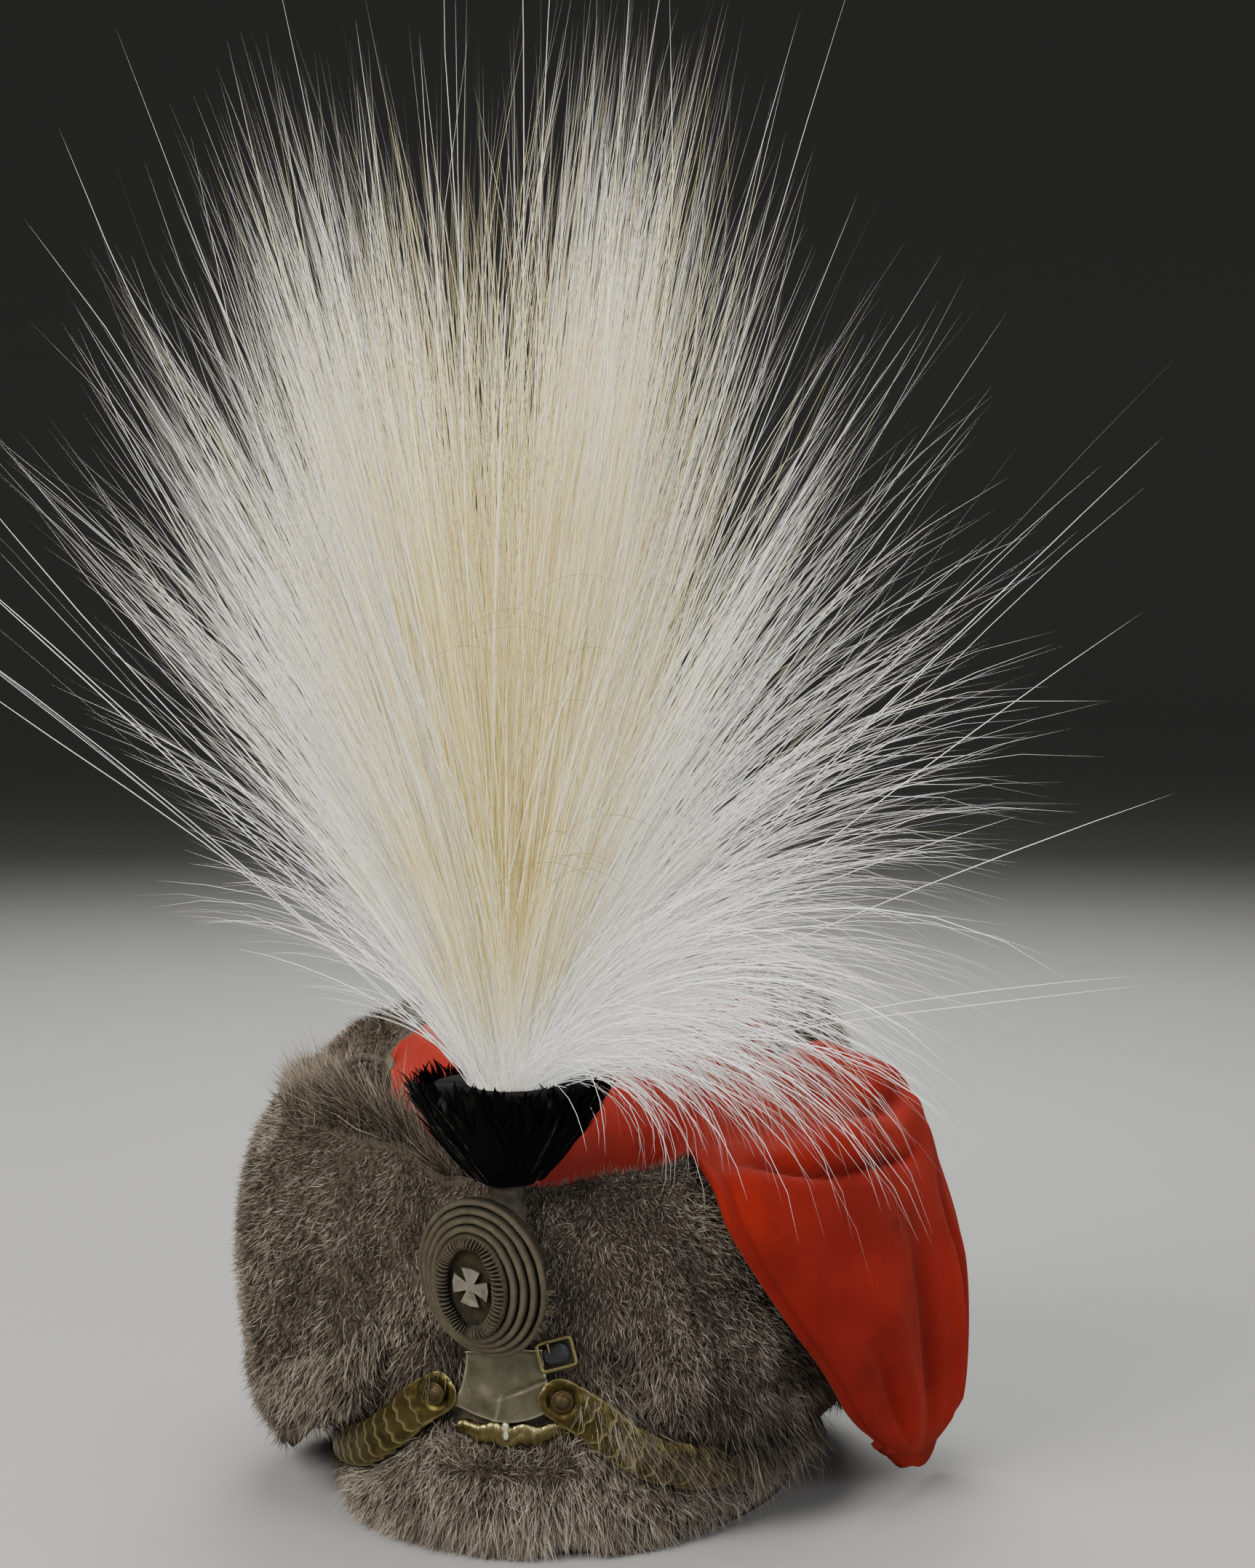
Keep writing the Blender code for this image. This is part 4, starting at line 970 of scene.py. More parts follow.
def fur_face(azimuth, level, inset):
    """Point of the fur's outer face, inset under the hair's tips.

    Up to RIM_LEVEL the rim is rounded, up to LOBE_LEVEL the face runs down the lobe, up to BAND_LEVEL it
    comes back under it, up to HEM_LEVEL it goes down the band behind the metalwork, and up to 1 it covers
    the hem.
    """
    foot = FUR_HEIGHT * ring_value(FUR_SECTIONS, azimuth, 3)
    rim = rim_height(azimuth)
    bulge = ring_value(FUR_SECTIONS, azimuth, 1)
    share = np.interp(level, [RIM_LEVEL, LOBE_LEVEL, 0.69, BAND_LEVEL], [0.97, 0.16, 0.06, 0.0])
    sag = np.minimum(share / LOBE_SAG_RISE, 1) * (1 - share) ** LOBE_SAG_FADE
    height = foot + (rim - foot) * share - LOBE_SAG * bulge * sag
    lift = lobe_lift(azimuth, share) - inset * np.minimum(bulge * 3, 1) - 0.0010
    round_rim = np.clip(level / RIM_LEVEL, 0, 1)
    height = np.where(level < RIM_LEVEL, height - 0.006 * (1 - round_rim) ** 2, height)
    lift = np.where(level < RIM_LEVEL, -0.006 + (lift + 0.006) * np.sqrt(round_rim), lift)
    top = hem_top(azimuth)
    tip = HEM_RAGGED * (ring_value(HEM_TIPS, azimuth, 1) + 0.25)
    down = np.clip((level - HEM_LEVEL) / (1 - HEM_LEVEL), 0, 1)
    front = np.exp(-(((azimuth + 180) % 360 - 180) / HEM_FRONT_SPAN) ** 2)
    flare = HEM_FLARE * (HEM_SIDE_FLARE_SHARE + (1 - HEM_SIDE_FLARE_SHARE) * front)
    hem_height = (
        top * np.interp(down, [0, 0.25, 0.6, 1], [1, 0.8, 0.42, 0])
        + tip * np.interp(down, [0, 0.25, 0.6, 1], [0, 0, 0.4, 1]) + HEM_EDGE
    )
    hem_lift = flare * np.interp(down, [0, 0.25, 0.6, 1], [0, 0.72, 0.9, 0.5]) - inset * 0.4
    band = np.clip((level - BAND_LEVEL) / (HEM_LEVEL - BAND_LEVEL), 0, 1)
    height = np.where(level > BAND_LEVEL, foot + (top + HEM_EDGE - foot) * band, height)
    lift = np.where(level > BAND_LEVEL, -0.0010 - inset * 0.4 * band, lift)
    height = np.where(level > HEM_LEVEL, hem_height, height)
    lift = np.where(level > HEM_LEVEL, hem_lift, lift)
    return seat(azimuth, height, lift)


def build_fur_wall(settings):
    """Closed wall: the plain hollow inside, the ledge, and the fur's outer face, swept round the cap."""
    columns = 240
    azimuth = np.linspace(-180, 180, columns, endpoint=False)[:, None]
    level = np.concatenate(
        [
            np.linspace(0, LOBE_LEVEL, 30), np.linspace(0.66, BAND_LEVEL, 8), np.linspace(0.78, HEM_LEVEL, 4),
            np.linspace(0.86, 1, 9)
        ]
    )[None, :]
    outer = fur_face(azimuth, level, settings.inset)
    rim = rim_height(azimuth[:, 0])
    ledge = rim - LEDGE_DROP
    turn = azimuth[:, 0]
    inner = np.stack([
        seat(turn, 0 * rim, -HEM_FLARE * 0.6),
        oval(HEAD_HALF_WIDTH, HEAD_HALF_LENGTH, turn, 0 * rim),
        oval(HEAD_HALF_WIDTH - CROWN_TAPER / 2, HEAD_HALF_LENGTH - CROWN_TAPER / 2, turn, ledge / 2),
        oval(HEAD_HALF_WIDTH - CROWN_TAPER, HEAD_HALF_LENGTH - CROWN_TAPER, turn, ledge),
        oval(
            HEAD_HALF_WIDTH - CROWN_TAPER + LEDGE_WIDTH, HEAD_HALF_LENGTH - CROWN_TAPER + LEDGE_WIDTH, turn,
            ledge
        ),
    ], 1)
    points = np.concatenate([outer, inner], 1)
    rows = points.shape[1]
    made = piece_from(
        "fur_wall", points, grid_faces(columns, rows, True, True), skin_material(settings), "fur_body",
        closed=True
    )
    made.data.materials.append(lining_material())
    wall = np.tile(np.arange(rows) >= outer.shape[1] + 1, columns).astype(np.int32)
    made.data.polygons.foreach_set("material_index", wall)
    return made


def hair_roots(count, seed, keep):
    """Roots spread over the fur's face by area, times a density that depends on azimuth and level."""
    random = np.random.default_rng(seed)
    azimuths = np.linspace(-180, 180, 361)
    levels = np.linspace(0.0, 1.0, 121)
    a, l = np.meshgrid((azimuths[1:] + azimuths[:-1]) / 2, (levels[1:] + levels[:-1]) / 2, indexing="ij")
    inset = 0.004
    across = fur_face(a + 0.5, l, inset) - fur_face(a - 0.5, l, inset)
    along = fur_face(a, l + 0.004, inset) - fur_face(a, l - 0.004, inset)
    area = np.linalg.norm(np.cross(across, along), axis=-1)
    chance = (area * keep(a, l)).ravel()
    cell = random.choice(len(chance), count, p=chance / chance.sum())
    azimuth = a.ravel()[cell] + random.uniform(-0.5, 0.5, count)
    level = np.clip(l.ravel()[cell] + random.uniform(-0.5, 0.5, count) / 120, 0.001, 0.999)
    return azimuth, level, random


def left_density(azimuth, level):
    """Density of the hair on the left: more on the rim's front and under the lobes."""
    side = (azimuth <= 0) & (azimuth > -115) & (level <= HEM_LEVEL)
    front_rim = (level < 0.1) & (azimuth > -75) & (azimuth < -9)
    return side * np.where(front_rim, 3.2, np.where(level > 0.56, 1.9, 1.0))


def right_density(azimuth, level):
    """Density of the hair on the right: less towards the bag."""
    side = (azimuth > 0) & (azimuth < 125) & (level <= HEM_LEVEL)
    return side * np.where(azimuth < 60, 1.0, 0.7)


def back_and_hem_density(azimuth, level):
    """Density of the hair on the back and on the hem: most along the hem's front edge."""
    hem = np.where(np.abs(azimuth) < 75, np.where(level > 0.93, 3.0, 2.0), 0.8)
    back = np.where((azimuth <= -115) | (azimuth >= 125), 0.85, 0.0)
    return np.where(level > HEM_LEVEL, hem, back)


def metal_cover(azimuth, height):
    """1 where metalwork, cockade or stem lies on the cap, 0 on free fur."""
    away = np.abs(azimuth)
    route = chin_height(azimuth)
    above = np.where(azimuth > 22, 0.0010, 0.0070)
    strap = (away > 10.5) & (away < 80) & (height - route < above) & (height - route > -0.0070)
    # The plate's region reaches below the plate's ends, so bare dark skin shows there as painted shadow
    # between the plate and the strip.
    plate = (np.abs(azimuth - 1.2) < 9 + 4 * (height < 0.062)) & (height > 0.0435) & (height < 0.0755)
    buckle = (np.abs(azimuth - BUCKLE_AZIMUTH) < 4) & (np.abs(height - 0.0745) < 0.007)
    cockade = ((azimuth + 2) / 10.5) ** 2 + ((height - COCKADE_CENTRE_HEIGHT) / 0.027) ** 2 < 1
    stem = (np.abs(azimuth - STEM_AZIMUTH) < 3.2) & (height > 0.10)
    return strap | plate | buckle | cockade | stem


def under_bag(azimuth, height):
    """1 where the bag's flap lies close over the fur, so that no hair is needed."""
    rim = rim_height(azimuth)
    drop = np.clip((rim - height) / np.maximum(rim - BAG_TIP_HEIGHT, 1e-6), 0, 1)
    front = table_value(BAG_FLAP, drop, 1)
    back = table_value(BAG_FLAP, drop, 2)
    return (azimuth > front + 7) & (azimuth < back - 6)


def build_hair(name, count, seed, settings, keep, shade):
    """Short curved blades over part of the fur.

    Each leans from the surface normal towards the hem, turned by a rolling noise and by its own clump,
    and its tone rises from the dark root to the pale tip.
    """
    azimuth, level, random = hair_roots(count, seed, keep)
    inset = settings.inset
    root = fur_face(azimuth, level, inset)
    across = unit(fur_face(azimuth + 0.4, level, inset) - fur_face(azimuth - 0.4, level, inset))
    down = unit(fur_face(azimuth, level + 0.003, inset) - fur_face(azimuth, level - 0.003, inset))
    normal = unit(np.cross(down, across))
    height = root[:, 2]
    free = ~(metal_cover(azimuth, height) | under_bag(azimuth, height))
    azimuth, level, root, across, down, normal, height = (
        v[free] for v in (azimuth, level, root, across, down, normal, height)
    )
    count = len(azimuth)
    on_hem = level > HEM_LEVEL
    front = np.exp(-(azimuth / 19) ** 2) * ~on_hem
    swirl = rolling_noise(azimuth / 14, height / 0.022, 5)
    combed = rolling_noise(azimuth / 9 + 3, height / 0.015, 6)
    clump = (
        np.floor(azimuth / 1.5).astype(int) * 7919 + np.floor(height / 0.0032).astype(int) * 104729
    ) % 4096
    clump_turns = random.normal(0, 1, (4096, 3))[clump]
    band = (level > BAND_LEVEL - 0.05) & ~on_hem
    route = chin_height(azimuth)
    over_chain = (azimuth > 18) & (azimuth < 85) & (height > route) & (height < route + 0.014)
    over_bar = on_hem & (np.abs(azimuth - 2) < 16) & (height > 0.030)
    over_plate = (azimuth > -19) & (azimuth < -8) & (height > 0.044) & (height < 0.080)
    left_rim = (level < 0.12) & (azimuth > -75) & (azimuth < -9)
    back_rim = (level < 0.10) & (azimuth > 112) & (azimuth < 172)
    on_rim = np.clip(RIM_LEVEL - level, 0, RIM_LEVEL) / RIM_LEVEL
    lean_down = 0.34 + 0.16 * combed + np.where(on_hem, 0.55, 0.0) - 0.9 * on_rim
    lean_side = 0.18 * swirl + np.where(np.abs(azimuth) < 60, 0.12 * np.sign(azimuth), 0.0)
    away = (
        normal * (0.95 - 0.30 * on_hem - 0.30 * front)[:, None] + down * lean_down[:, None]
        + across * lean_side[:, None]
    )
    away += (
        back_rim[:, None] * np.array([0, 0, 1.1])
        + (
            left_rim[:, None]
            * (np.array([0, 0, 1.9]) - np.where(azimuth > -50, 1.45, 0.8)[:, None] * normal)
        )
    )
    away += (band | over_chain)[:, None] * (down * 0.8) - over_bar[:, None] * (down * 1.5)
    away += over_plate[:, None] * (across * 1.3 + normal * 0.7) + over_chain[:, None] * (normal * 0.6)
    edge = level > 0.93
    under = (level > 0.56) & (level < BAND_LEVEL)
    away -= (edge * (0.6 + 0.6 * clump_turns[:, 0] ** 2) + 0.5 * under)[:, None] * UPWARD
    away = unit(away + clump_turns * 0.07 + random.normal(0, 0.40, (count, 3)))
    bend = (
        down * random.uniform(0.1, 0.50, (count, 1)) + clump_turns * 0.05
        + random.normal(0, 0.35, (count, 3))
    )
    guard = random.random(count) < settings.guard_share
    length = settings.length * random.uniform(0.55, 1.0, count) * (1 - 0.45 * front)
    length *= (
        np.where(guard, 1.25, 0.85) * np.where(on_hem, 1.15, 1.0)
        * np.where(left_rim, np.where(azimuth > -50, 5.0, 3.0), np.where(back_rim, 2.2, 1.0))
    )
    length *= np.where(band & (np.abs(azimuth) > 18), 1.5, 1.0) * np.where(over_chain, 2.3, 1.0)
    length *= np.where(over_bar, 1.5, 1.0) * np.where(over_plate, 2.3, 1.0)
    length *= np.where(edge, 1.9, 1.0) * np.where(under & (np.abs(azimuth) > 30), 1.5, 1.0)
    width = np.where(guard, 0.00025, 0.00036) * random.uniform(0.8, 1.25, count)
    share = np.array([0.0, 0.55, 1.0])
    path = (
        root[:, None]
        + length[:, None, None]
        * (share[None, :, None] * away[:, None] + share[None, :, None] ** 2 * bend[:, None] * 0.5)
    )
    path[..., 2] = np.maximum(path[..., 2], 0.0006)
    side = unit(np.cross(away, normal + random.normal(0, 0.8, (count, 3))))
    widths = width[:, None] * np.array([1.0, 0.85, 0.0])[None, :]
    # Painted shade: darker tone low on the sides, where the tips are also less pale, and in the hollow left
    # of the plate.
    deep = np.clip(1.15 - height / 0.062, 0, 1) * (np.abs(azimuth) > 24) * ~on_hem
    valley_shade = 0.5 * np.exp(-((azimuth + 14) / 5) ** 2 - ((height - 0.062) / 0.02) ** 2)
    pale = np.exp(-((azimuth - 143) / 20) ** 2) * np.clip((height - 0.135) / 0.03, 0, 1)
    patch = 0.05 * rolling_noise(azimuth / 16, height / 0.03, 11)
    base = 0.34 + patch - 0.20 * deep - 0.26 * valley_shade + 0.34 * pale + 0.10 * on_hem + random.normal(
        0, 0.11, count
    )
    tip = np.where(guard, 0.56, 0.14) * random.uniform(0.3, 1.2, count) * (1 - 0.35 * deep)
    tone = np.clip(
        base[:, None] + np.array([-0.22, 0.02, 0.0])[None, :]
        + tip[:, None] * np.array([0.0, 0.55, 1.0])[None, :],
        0, 1
    )
    points, quads, triangles, shade_values = blades(path, widths, side, tone)
    made = piece_from(name, points, quads, shade, "fur_body", triangles, {"tone": shade_values})
    return made


# Bag


def crown_edge(azimuth):
    edge = LEDGE_WIDTH * CROWN_SEAT_SHARE - CROWN_TAPER
    highest = np.maximum(np.maximum(rim_height(azimuth - 4), rim_height(azimuth)), rim_height(azimuth + 4))
    return oval(
        HEAD_HALF_WIDTH + edge, HEAD_HALF_LENGTH + edge, azimuth, highest - LEDGE_DROP + CROWN_CLEARANCE
    )


def bag_under_face(across, along):
    """Under face of the bag: a low dome over the crown, then the flap over the rim and down to its tip."""
    side = 2 * across - 1
    share = np.clip(along / BAG_MOUTH_SHARE, 0, 1)
    share = CROWN_FIRST_SHARE + (1 - CROWN_FIRST_SHARE) * share
    front = crown_edge(-90 + (BAG_FLAP[0][1] + 90) * share)
    back = crown_edge(-90 - (270 - BAG_FLAP[0][2]) * share)
    crown = front + (back - front) * across[..., None]
    crown[..., 2] += (
        BAG_CROWN_RISE * (1 - side ** 2)
        * np.sin(np.pi * (DOME_FIRST_SHARE + (DOME_LAST_SHARE - DOME_FIRST_SHARE) * share))
    )
    first = BAG_FLAP[0][0]
    drop = first + (1 - first) * np.clip((along - BAG_MOUTH_SHARE) / (1 - BAG_MOUTH_SHARE), 0, 1)
    low = np.clip((drop - BAG_TIP_START) / (1 - BAG_TIP_START), 0, 1)
    within = 0.5 + (across - 0.5) * np.sqrt(1 - BAG_TIP_NARROWING * low ** 3)
    azimuth = table_value(BAG_FLAP, drop, 1) * (1 - within) + table_value(BAG_FLAP, drop, 2) * within
    out = table_value(BAG_FLAP, drop, 3) * (1 - within) + table_value(BAG_FLAP, drop, 4) * within
    crest = rim_height(azimuth) + BAG_CREST_CLEARANCE
    tip = BAG_TIP_HEIGHT * (1 + BAG_TIP_ROUNDING * side ** 2)
    height = crest + np.minimum(drop, 0) * BAG_TUCK + (tip - crest) * np.maximum(drop, 0)
    height += BAG_CORNER_RISE * side ** 2 * low ** 2
    flap = seat(azimuth, height, BAG_OUT * out)
    blend = np.clip((along - BAG_MOUTH_SHARE + 0.012) / 0.024, 0, 1)[..., None]
    return crown * (1 - blend) + flap * blend, drop


def fold_relief(across, drop):
    """Sum of soft folds: each is a bell across its own line and fades towards the line's two ends."""
    relief = np.zeros_like(across)
    for x0, y0, x1, y1, wide, depth in BAG_FOLDS:
        dx, dy = x1 - x0, y1 - y0
        length = math.hypot(dx, dy)
        along = ((across - x0) * dx + (drop - y0) * dy) / length ** 2
        off = ((across - x0) * dy - (drop - y0) * dx) / length
        ends = np.clip(np.minimum(along, 1 - along) * 3 + 0.35, 0, 1)
        relief += depth * np.exp(-(off / wide) ** 2) * ends
    return relief


def build_bag(settings):
    """Cloth bag: a sheet over the crown and down the side, with folds, a corded edge and a seam."""
    columns, rows = 84, 176
    across, along = share_grid(columns, rows)
    under, drop = bag_under_face(across, along)
    normal = grid_normals(under)
    outward = normal if normal[columns // 2, int(rows * 0.8), 0] > 0 else -normal
    on_flap = np.clip((drop - 0.0) / 0.06, 0, 1)
    relief = fold_relief(across, drop) * on_flap
    crown = np.clip(1 - on_flap, 0, 1)
    relief += crown * 0.0022 * rolling_noise(across * 3.2, along * 8.0, 21) * np.sin(np.pi * across)
    relief += 0.0007 * rolling_noise(across * 5, drop * 6, 22) * on_flap
    to_edge = np.minimum(np.minimum(across, 1 - across), BAG_END_SHARE * (1 - drop))
    piping = np.exp(-(to_edge / 0.013) ** 2) * on_flap
    groove = np.exp(-((to_edge - 0.034) / 0.008) ** 2) * on_flap
    relief = relief * np.clip(to_edge * 14, 0, 1)
    relief = np.maximum(relief, -0.0055)
    lift = (relief + 0.0050 * on_flap * np.clip(to_edge * 10, 0, 1))[..., None]
    inner = under + outward * (lift * 0.85)
    outer = under + outward * (lift + BAG_THICKNESS * (0.80 + 0.55 * piping - 0.30 * groove)[..., None])
    points, faces = slab(outer, inner)
    # Painted shade: how deep each point lies in a crease, plus half the seam's groove, to darken the cloth
    # there.
    fold_shade = np.clip(-relief / 0.0055, 0, 1) ** 1.3 + 0.5 * groove
    spot = np.exp(-((across - 0.52) / 0.020) ** 2 - ((drop - 0.275) / 0.012) ** 2)
    length = np.concatenate(
        [np.zeros((columns, 1)), np.cumsum(np.linalg.norm(np.diff(under, axis=1), axis=-1), 1)], 1
    )
    width = np.concatenate(
        [np.zeros((1, rows)), np.cumsum(np.linalg.norm(np.diff(under, axis=0), axis=-1), 0)], 0
    )
    uv = np.stack([width, length], -1)
    made = piece_from(
        "bag_cloth", points, faces, cloth_material(settings), "bag",
        values={
            "fold_shade": np.concatenate([fold_shade.ravel(), fold_shade.ravel()]),
            "stain": np.concatenate([spot.ravel()] * 2)
        },
        uv=np.concatenate([uv.reshape(-1, 2)] * 2), closed=True,
    )
    return made


# Plume


def plume_base():
    stem = seat(np.array(STEM_AZIMUTH), np.array(0.0), GAP + STEM_RADIUS)
    return np.array(
        [stem[0], stem[1], float(rim_height(np.array(float(STEM_AZIMUTH)))) + 2 * GAP + CUP_HEIGHT]
    )


def plume_directions(turn, lean):
    """Direction that leans from upright towards a turn, where 90 degrees is the photo's right."""
    side = np.sin(turn)[..., None] * VIEW_RIGHT - 0.72 * np.cos(turn)[..., None] * VIEW_AHEAD
    return unit(np.sin(lean)[..., None] * side + np.cos(lean)[..., None] * UPWARD)


def strand_paths(
    base, turn, start, end, length, share, random, root_radius=0.0125, wave=0.012, stray=0.012
):
    """Strands whose lean turns from its start to its end value, with a wave and an offset that grow.

    start and end hold a lean for each strand and step, and share is the place of each step along a strand.
    """
    count = len(turn)
    middle = (share[1:] + share[:-1]) / 2
    leans = start[:, :-1] + (end - start)[:, :-1] * middle[None, :]
    step = plume_directions(turn[:, :-1], leans) * (np.diff(share)[None, :, None] * length[:, None, None])
    outward = plume_directions(turn[:, 0] + random.normal(0, 0.5, count), np.full(count, math.pi / 2))
    spread = root_radius * np.clip(end[:, 0], 0.1, 1.0) ** 0.6 * random.uniform(0.45, 1.0, count)
    root = outward * spread[:, None]
    root[:, 2] = -0.004
    path = np.concatenate([np.zeros((count, 1, 3)), np.cumsum(step, 1)], 1) + root[:, None]
    offset = random.normal(0, 1, (count, 3)) * (stray * length)[:, None]
    sway = random.normal(0, 1, (count, 3)) * (wave * length)[:, None]
    phase = random.uniform(0, np.pi, count)[:, None]
    path += offset[:, None] * share[None, :, None] ** 1.6
    path += (
        sway[:, None] * (np.sin(share[None, :] * np.pi * 1.6 + phase) * share[None, :] ** 1.5)[..., None]
    )
    return path + base


def fit_paths(path, base, low, high):
    """Shorten any strand that leaves the box, about the plume's foot."""
    tip = path[:, -1] - base
    room = np.where(tip > 0, high - base, low - base)
    ratio = np.min(np.where(np.abs(tip) > 1e-6, room / np.where(np.abs(tip) > 1e-6, tip, 1), 9), axis=1)
    return base + (path - base) * np.clip(ratio, 0, 1)[:, None, None]


def plume_room():
    low, high = np.array(CAD_BOX[0]), np.array(CAD_BOX[1])
    spare = 0.03 * (high - low) + 0.008
    low, high = low - spare, high + spare
    low[2] = 0.004
    return low, high


def clump_leans(clumps, kind, random):
    """Leans of each clump in degrees, in the photo's plane and in depth.

    The heart takes them from its bunches, the rest from the density table.
    """
    if kind == "heart":
        rows = np.array(PLUME_BUNCHES)
        pick = random.choice(len(rows), clumps, p=rows[:, 2] / rows[:, 2].sum())
        sideways = rows[pick, 0] + random.normal(0, 1, clumps) * rows[pick, 1]
        depth = random.normal(0, 9.0, clumps)
        filler = random.random(clumps) < 0.10
        sideways = np.where(filler, random.normal(0, 12.0, clumps), sideways)
        return sideways, np.where(filler, random.normal(0, 14.0, clumps), depth)
    rows = np.array(PLUME_DENSITY)
    fine = np.linspace(rows[0, 0], rows[-1, 0], 400)
    chance = np.interp(fine, rows[:, 0], rows[:, 1])
    sideways = random.choice(fine, clumps, p=chance / chance.sum()) + random.normal(0, 1.0, clumps)
    depth = random.normal(0, 1, clumps) * (9 + 0.30 * np.minimum(np.abs(sideways), 60))
    around = random.random(clumps) < 0.12
    turn = random.uniform(0, 2 * np.pi, clumps)
    lean = random.uniform(14, 58, clumps)
    return np.where(around, lean * np.sin(turn), sideways), np.where(around, lean * np.cos(turn), depth)


def build_strands(name, count, steps, seed, settings, shade, kind):
    """Plume strands as thin blades in clumps that swell and close again like flames.

    Along a strand its lean off the clump's own is o (1 - 1.7 s), with s from 0 at the root to 1 at the
    tip, so that the strands of a clump part first and meet again near its tip. The reach comes from
    PLUME_REACH for its side.
    """
    random = np.random.default_rng(seed)
    heart = kind == "heart"
    clumps = settings.clumps * 2 // 3 if heart else settings.clumps
    sideways, depth = clump_leans(clumps, kind, random)
    weight = random.uniform(0.4, 1.6, clumps)
    owner = random.choice(clumps, count, p=weight / weight.sum())
    share = np.linspace(0, 1, steps) ** 1.1
    fan = settings.fan * (1.0 if heart else 1.5)
    part = 1 - 1.7 * share
    off_side = random.normal(0, fan, count)[:, None] * part
    off_deep = random.normal(0, fan, count)[:, None] * part
    loner = random.random(count) < 0.07
    own_side = sideways[owner] + np.where(loner, random.normal(0, 7, count), 0)
    own_deep = depth[owner] + np.where(loner, random.normal(0, 7, count), 0)
    side, deep = own_side[:, None] + off_side, own_deep[:, None] + off_deep
    turn = np.arctan2(side, deep)
    lean = np.hypot(side, deep)
    right = (1 + np.sin(np.arctan2(own_side, own_deep))) / 2
    whole = np.hypot(own_side, own_deep)
    bow_in = np.interp(whole, [0, 20, 45, 70, 100], [0.15, 0.34, 0.54, 0.64, 0.64])
    bow_out = np.interp(whole, [0, 20, 45, 70, 100], [0.10, 0.22, 0.34, 0.40, 0.48]) * (0.70 + 0.60 * right)
    start = np.radians(lean * (1 - bow_in[:, None]))
    end = np.radians(lean * (1 + bow_out[:, None]))
    row = np.clip(whole, 0, 125)
    reach = table_value(PLUME_REACH, row, 1) * (1 - right) + table_value(PLUME_REACH, row, 2) * right
    clump_reach = random.uniform(0.78, 1.03, clumps)[owner]
    length = reach * clump_reach * (1 - 0.62 * random.random(count) ** settings.evenness)
    facing = np.abs(np.cos(np.arctan2(own_side, own_deep)))
    length *= 1 - 0.30 * facing * np.clip((whole - 25) / 40, 0, 1)
    path = strand_paths(plume_base(), turn, start, end, length, share, random)
    low, high = plume_room()
    path = fit_paths(path, plume_base(), low, high)
    tangent = unit(path[:, -1] - path[:, 0])
    wide = unit(np.cross(tangent, random.normal(0, 1, (count, 3))))
    thick = random.random(count) < 0.05
    width = np.where(thick, settings.width * 2.0, settings.width) * random.uniform(0.7, 1.2, count)
    widths = width[:, None] * np.interp(share, [0, 0.5, 0.85, 1.0], [1.0, 0.95, 0.62, 0.0])[None, :]
    along = np.interp(share, [0, 0.09, 0.20, 0.60, 1.0], [0.0, 0.35, 1.0, 0.85, 0.30])
    warm = np.exp(-(own_side / 27) ** 2)[:, None] * along[None, :]
    tone = (
        0.14 + 0.66 * warm + random.normal(0, 0.12, count)[:, None]
        + 0.07 * random.normal(0, 1, clumps)[owner][:, None]
    )
    dim = np.clip(1.05 - 0.70 * random.random(count) ** 1.4, 0.3, 1)[:, None] * np.ones(steps)
    points, quads, triangles, values = blades(path, widths, wide, np.clip(tone, 0, 1))
    made = piece_from(
        name, points, quads, shade, "plume", triangles, {"tone": values, "dim": blade_values(dim)}
    )
    return made


def build_plume_fringe(shade):
    """Fluff round the neck, long strands that rise and droop over the bag, and strays that fly wide."""
    random = np.random.default_rng(71)
    base = plume_base()
    share = np.linspace(0, 1, 9)
    flat = np.ones((1, 9))
    count = 1700
    turn = random.uniform(0, 2 * np.pi, count)
    lean = random.uniform(12, 62, count) * np.where(np.sin(turn) < 0, 0.55, 1.0)
    length = random.uniform(0.012, 0.038, count)
    fluff = strand_paths(
        base, turn[:, None] * flat, np.radians(lean * 0.6)[:, None] * flat,
        np.radians(lean * 1.5)[:, None] * flat, length, share, random, wave=0.05, stray=0.06
    )
    droop = 360
    turn_d = np.radians(random.normal(88, 24, droop))
    rise = random.uniform(28, 58, droop)
    fall = random.uniform(112, 172, droop)
    length_d = random.uniform(0.050, 0.185, droop)
    falling = strand_paths(
        base, turn_d[:, None] * flat, np.radians(rise)[:, None] * flat, np.radians(fall)[:, None] * flat,
        length_d, share, random, wave=0.02, stray=0.03
    )
    stray = 60
    side = np.where(random.random(stray) < 0.5, 90.0, -90.0)
    turn_s = np.radians(side + random.normal(0, 24, stray))
    lean_s = np.minimum(np.abs(random.normal(0, 36, stray)), np.where(side < 0, 50, 78))
    reach_s = table_value(PLUME_REACH, np.clip(lean_s, 0, 120), 2) * random.uniform(0.9, 1.15, stray)
    wild = strand_paths(
        base, turn_s[:, None] * flat, np.radians(lean_s * 0.9)[:, None] * flat,
        np.radians(lean_s * 1.1)[:, None] * flat, reach_s, share, random
    )
    path = np.concatenate([fluff, falling, wild])
    low, high = plume_room()
    path = fit_paths(path, base, low, high)
    total = len(path)
    wide = unit(np.cross(path[:, -1] - path[:, 0], random.normal(0, 1, (total, 3))))
    width = np.concatenate([np.full(count, 0.00022), np.full(droop, 0.00030), np.full(stray, 0.00040)])
    widths = width[:, None] * np.interp(share, [0, 0.8, 1], [1, 0.7, 0])[None, :]
    tone = 0.06 + random.normal(0, 0.05, (total, 1)) + np.zeros((1, 9))
    points, quads, triangles, values = blades(path, widths, wide, np.clip(tone, 0, 1))
    dim = random.uniform(0.75, 1.0, (total, 1)) * np.ones(9)
    made = piece_from(
        "plume_fringe", points, quads, shade, "plume", triangles, {"tone": values, "dim": blade_values(dim)}
    )


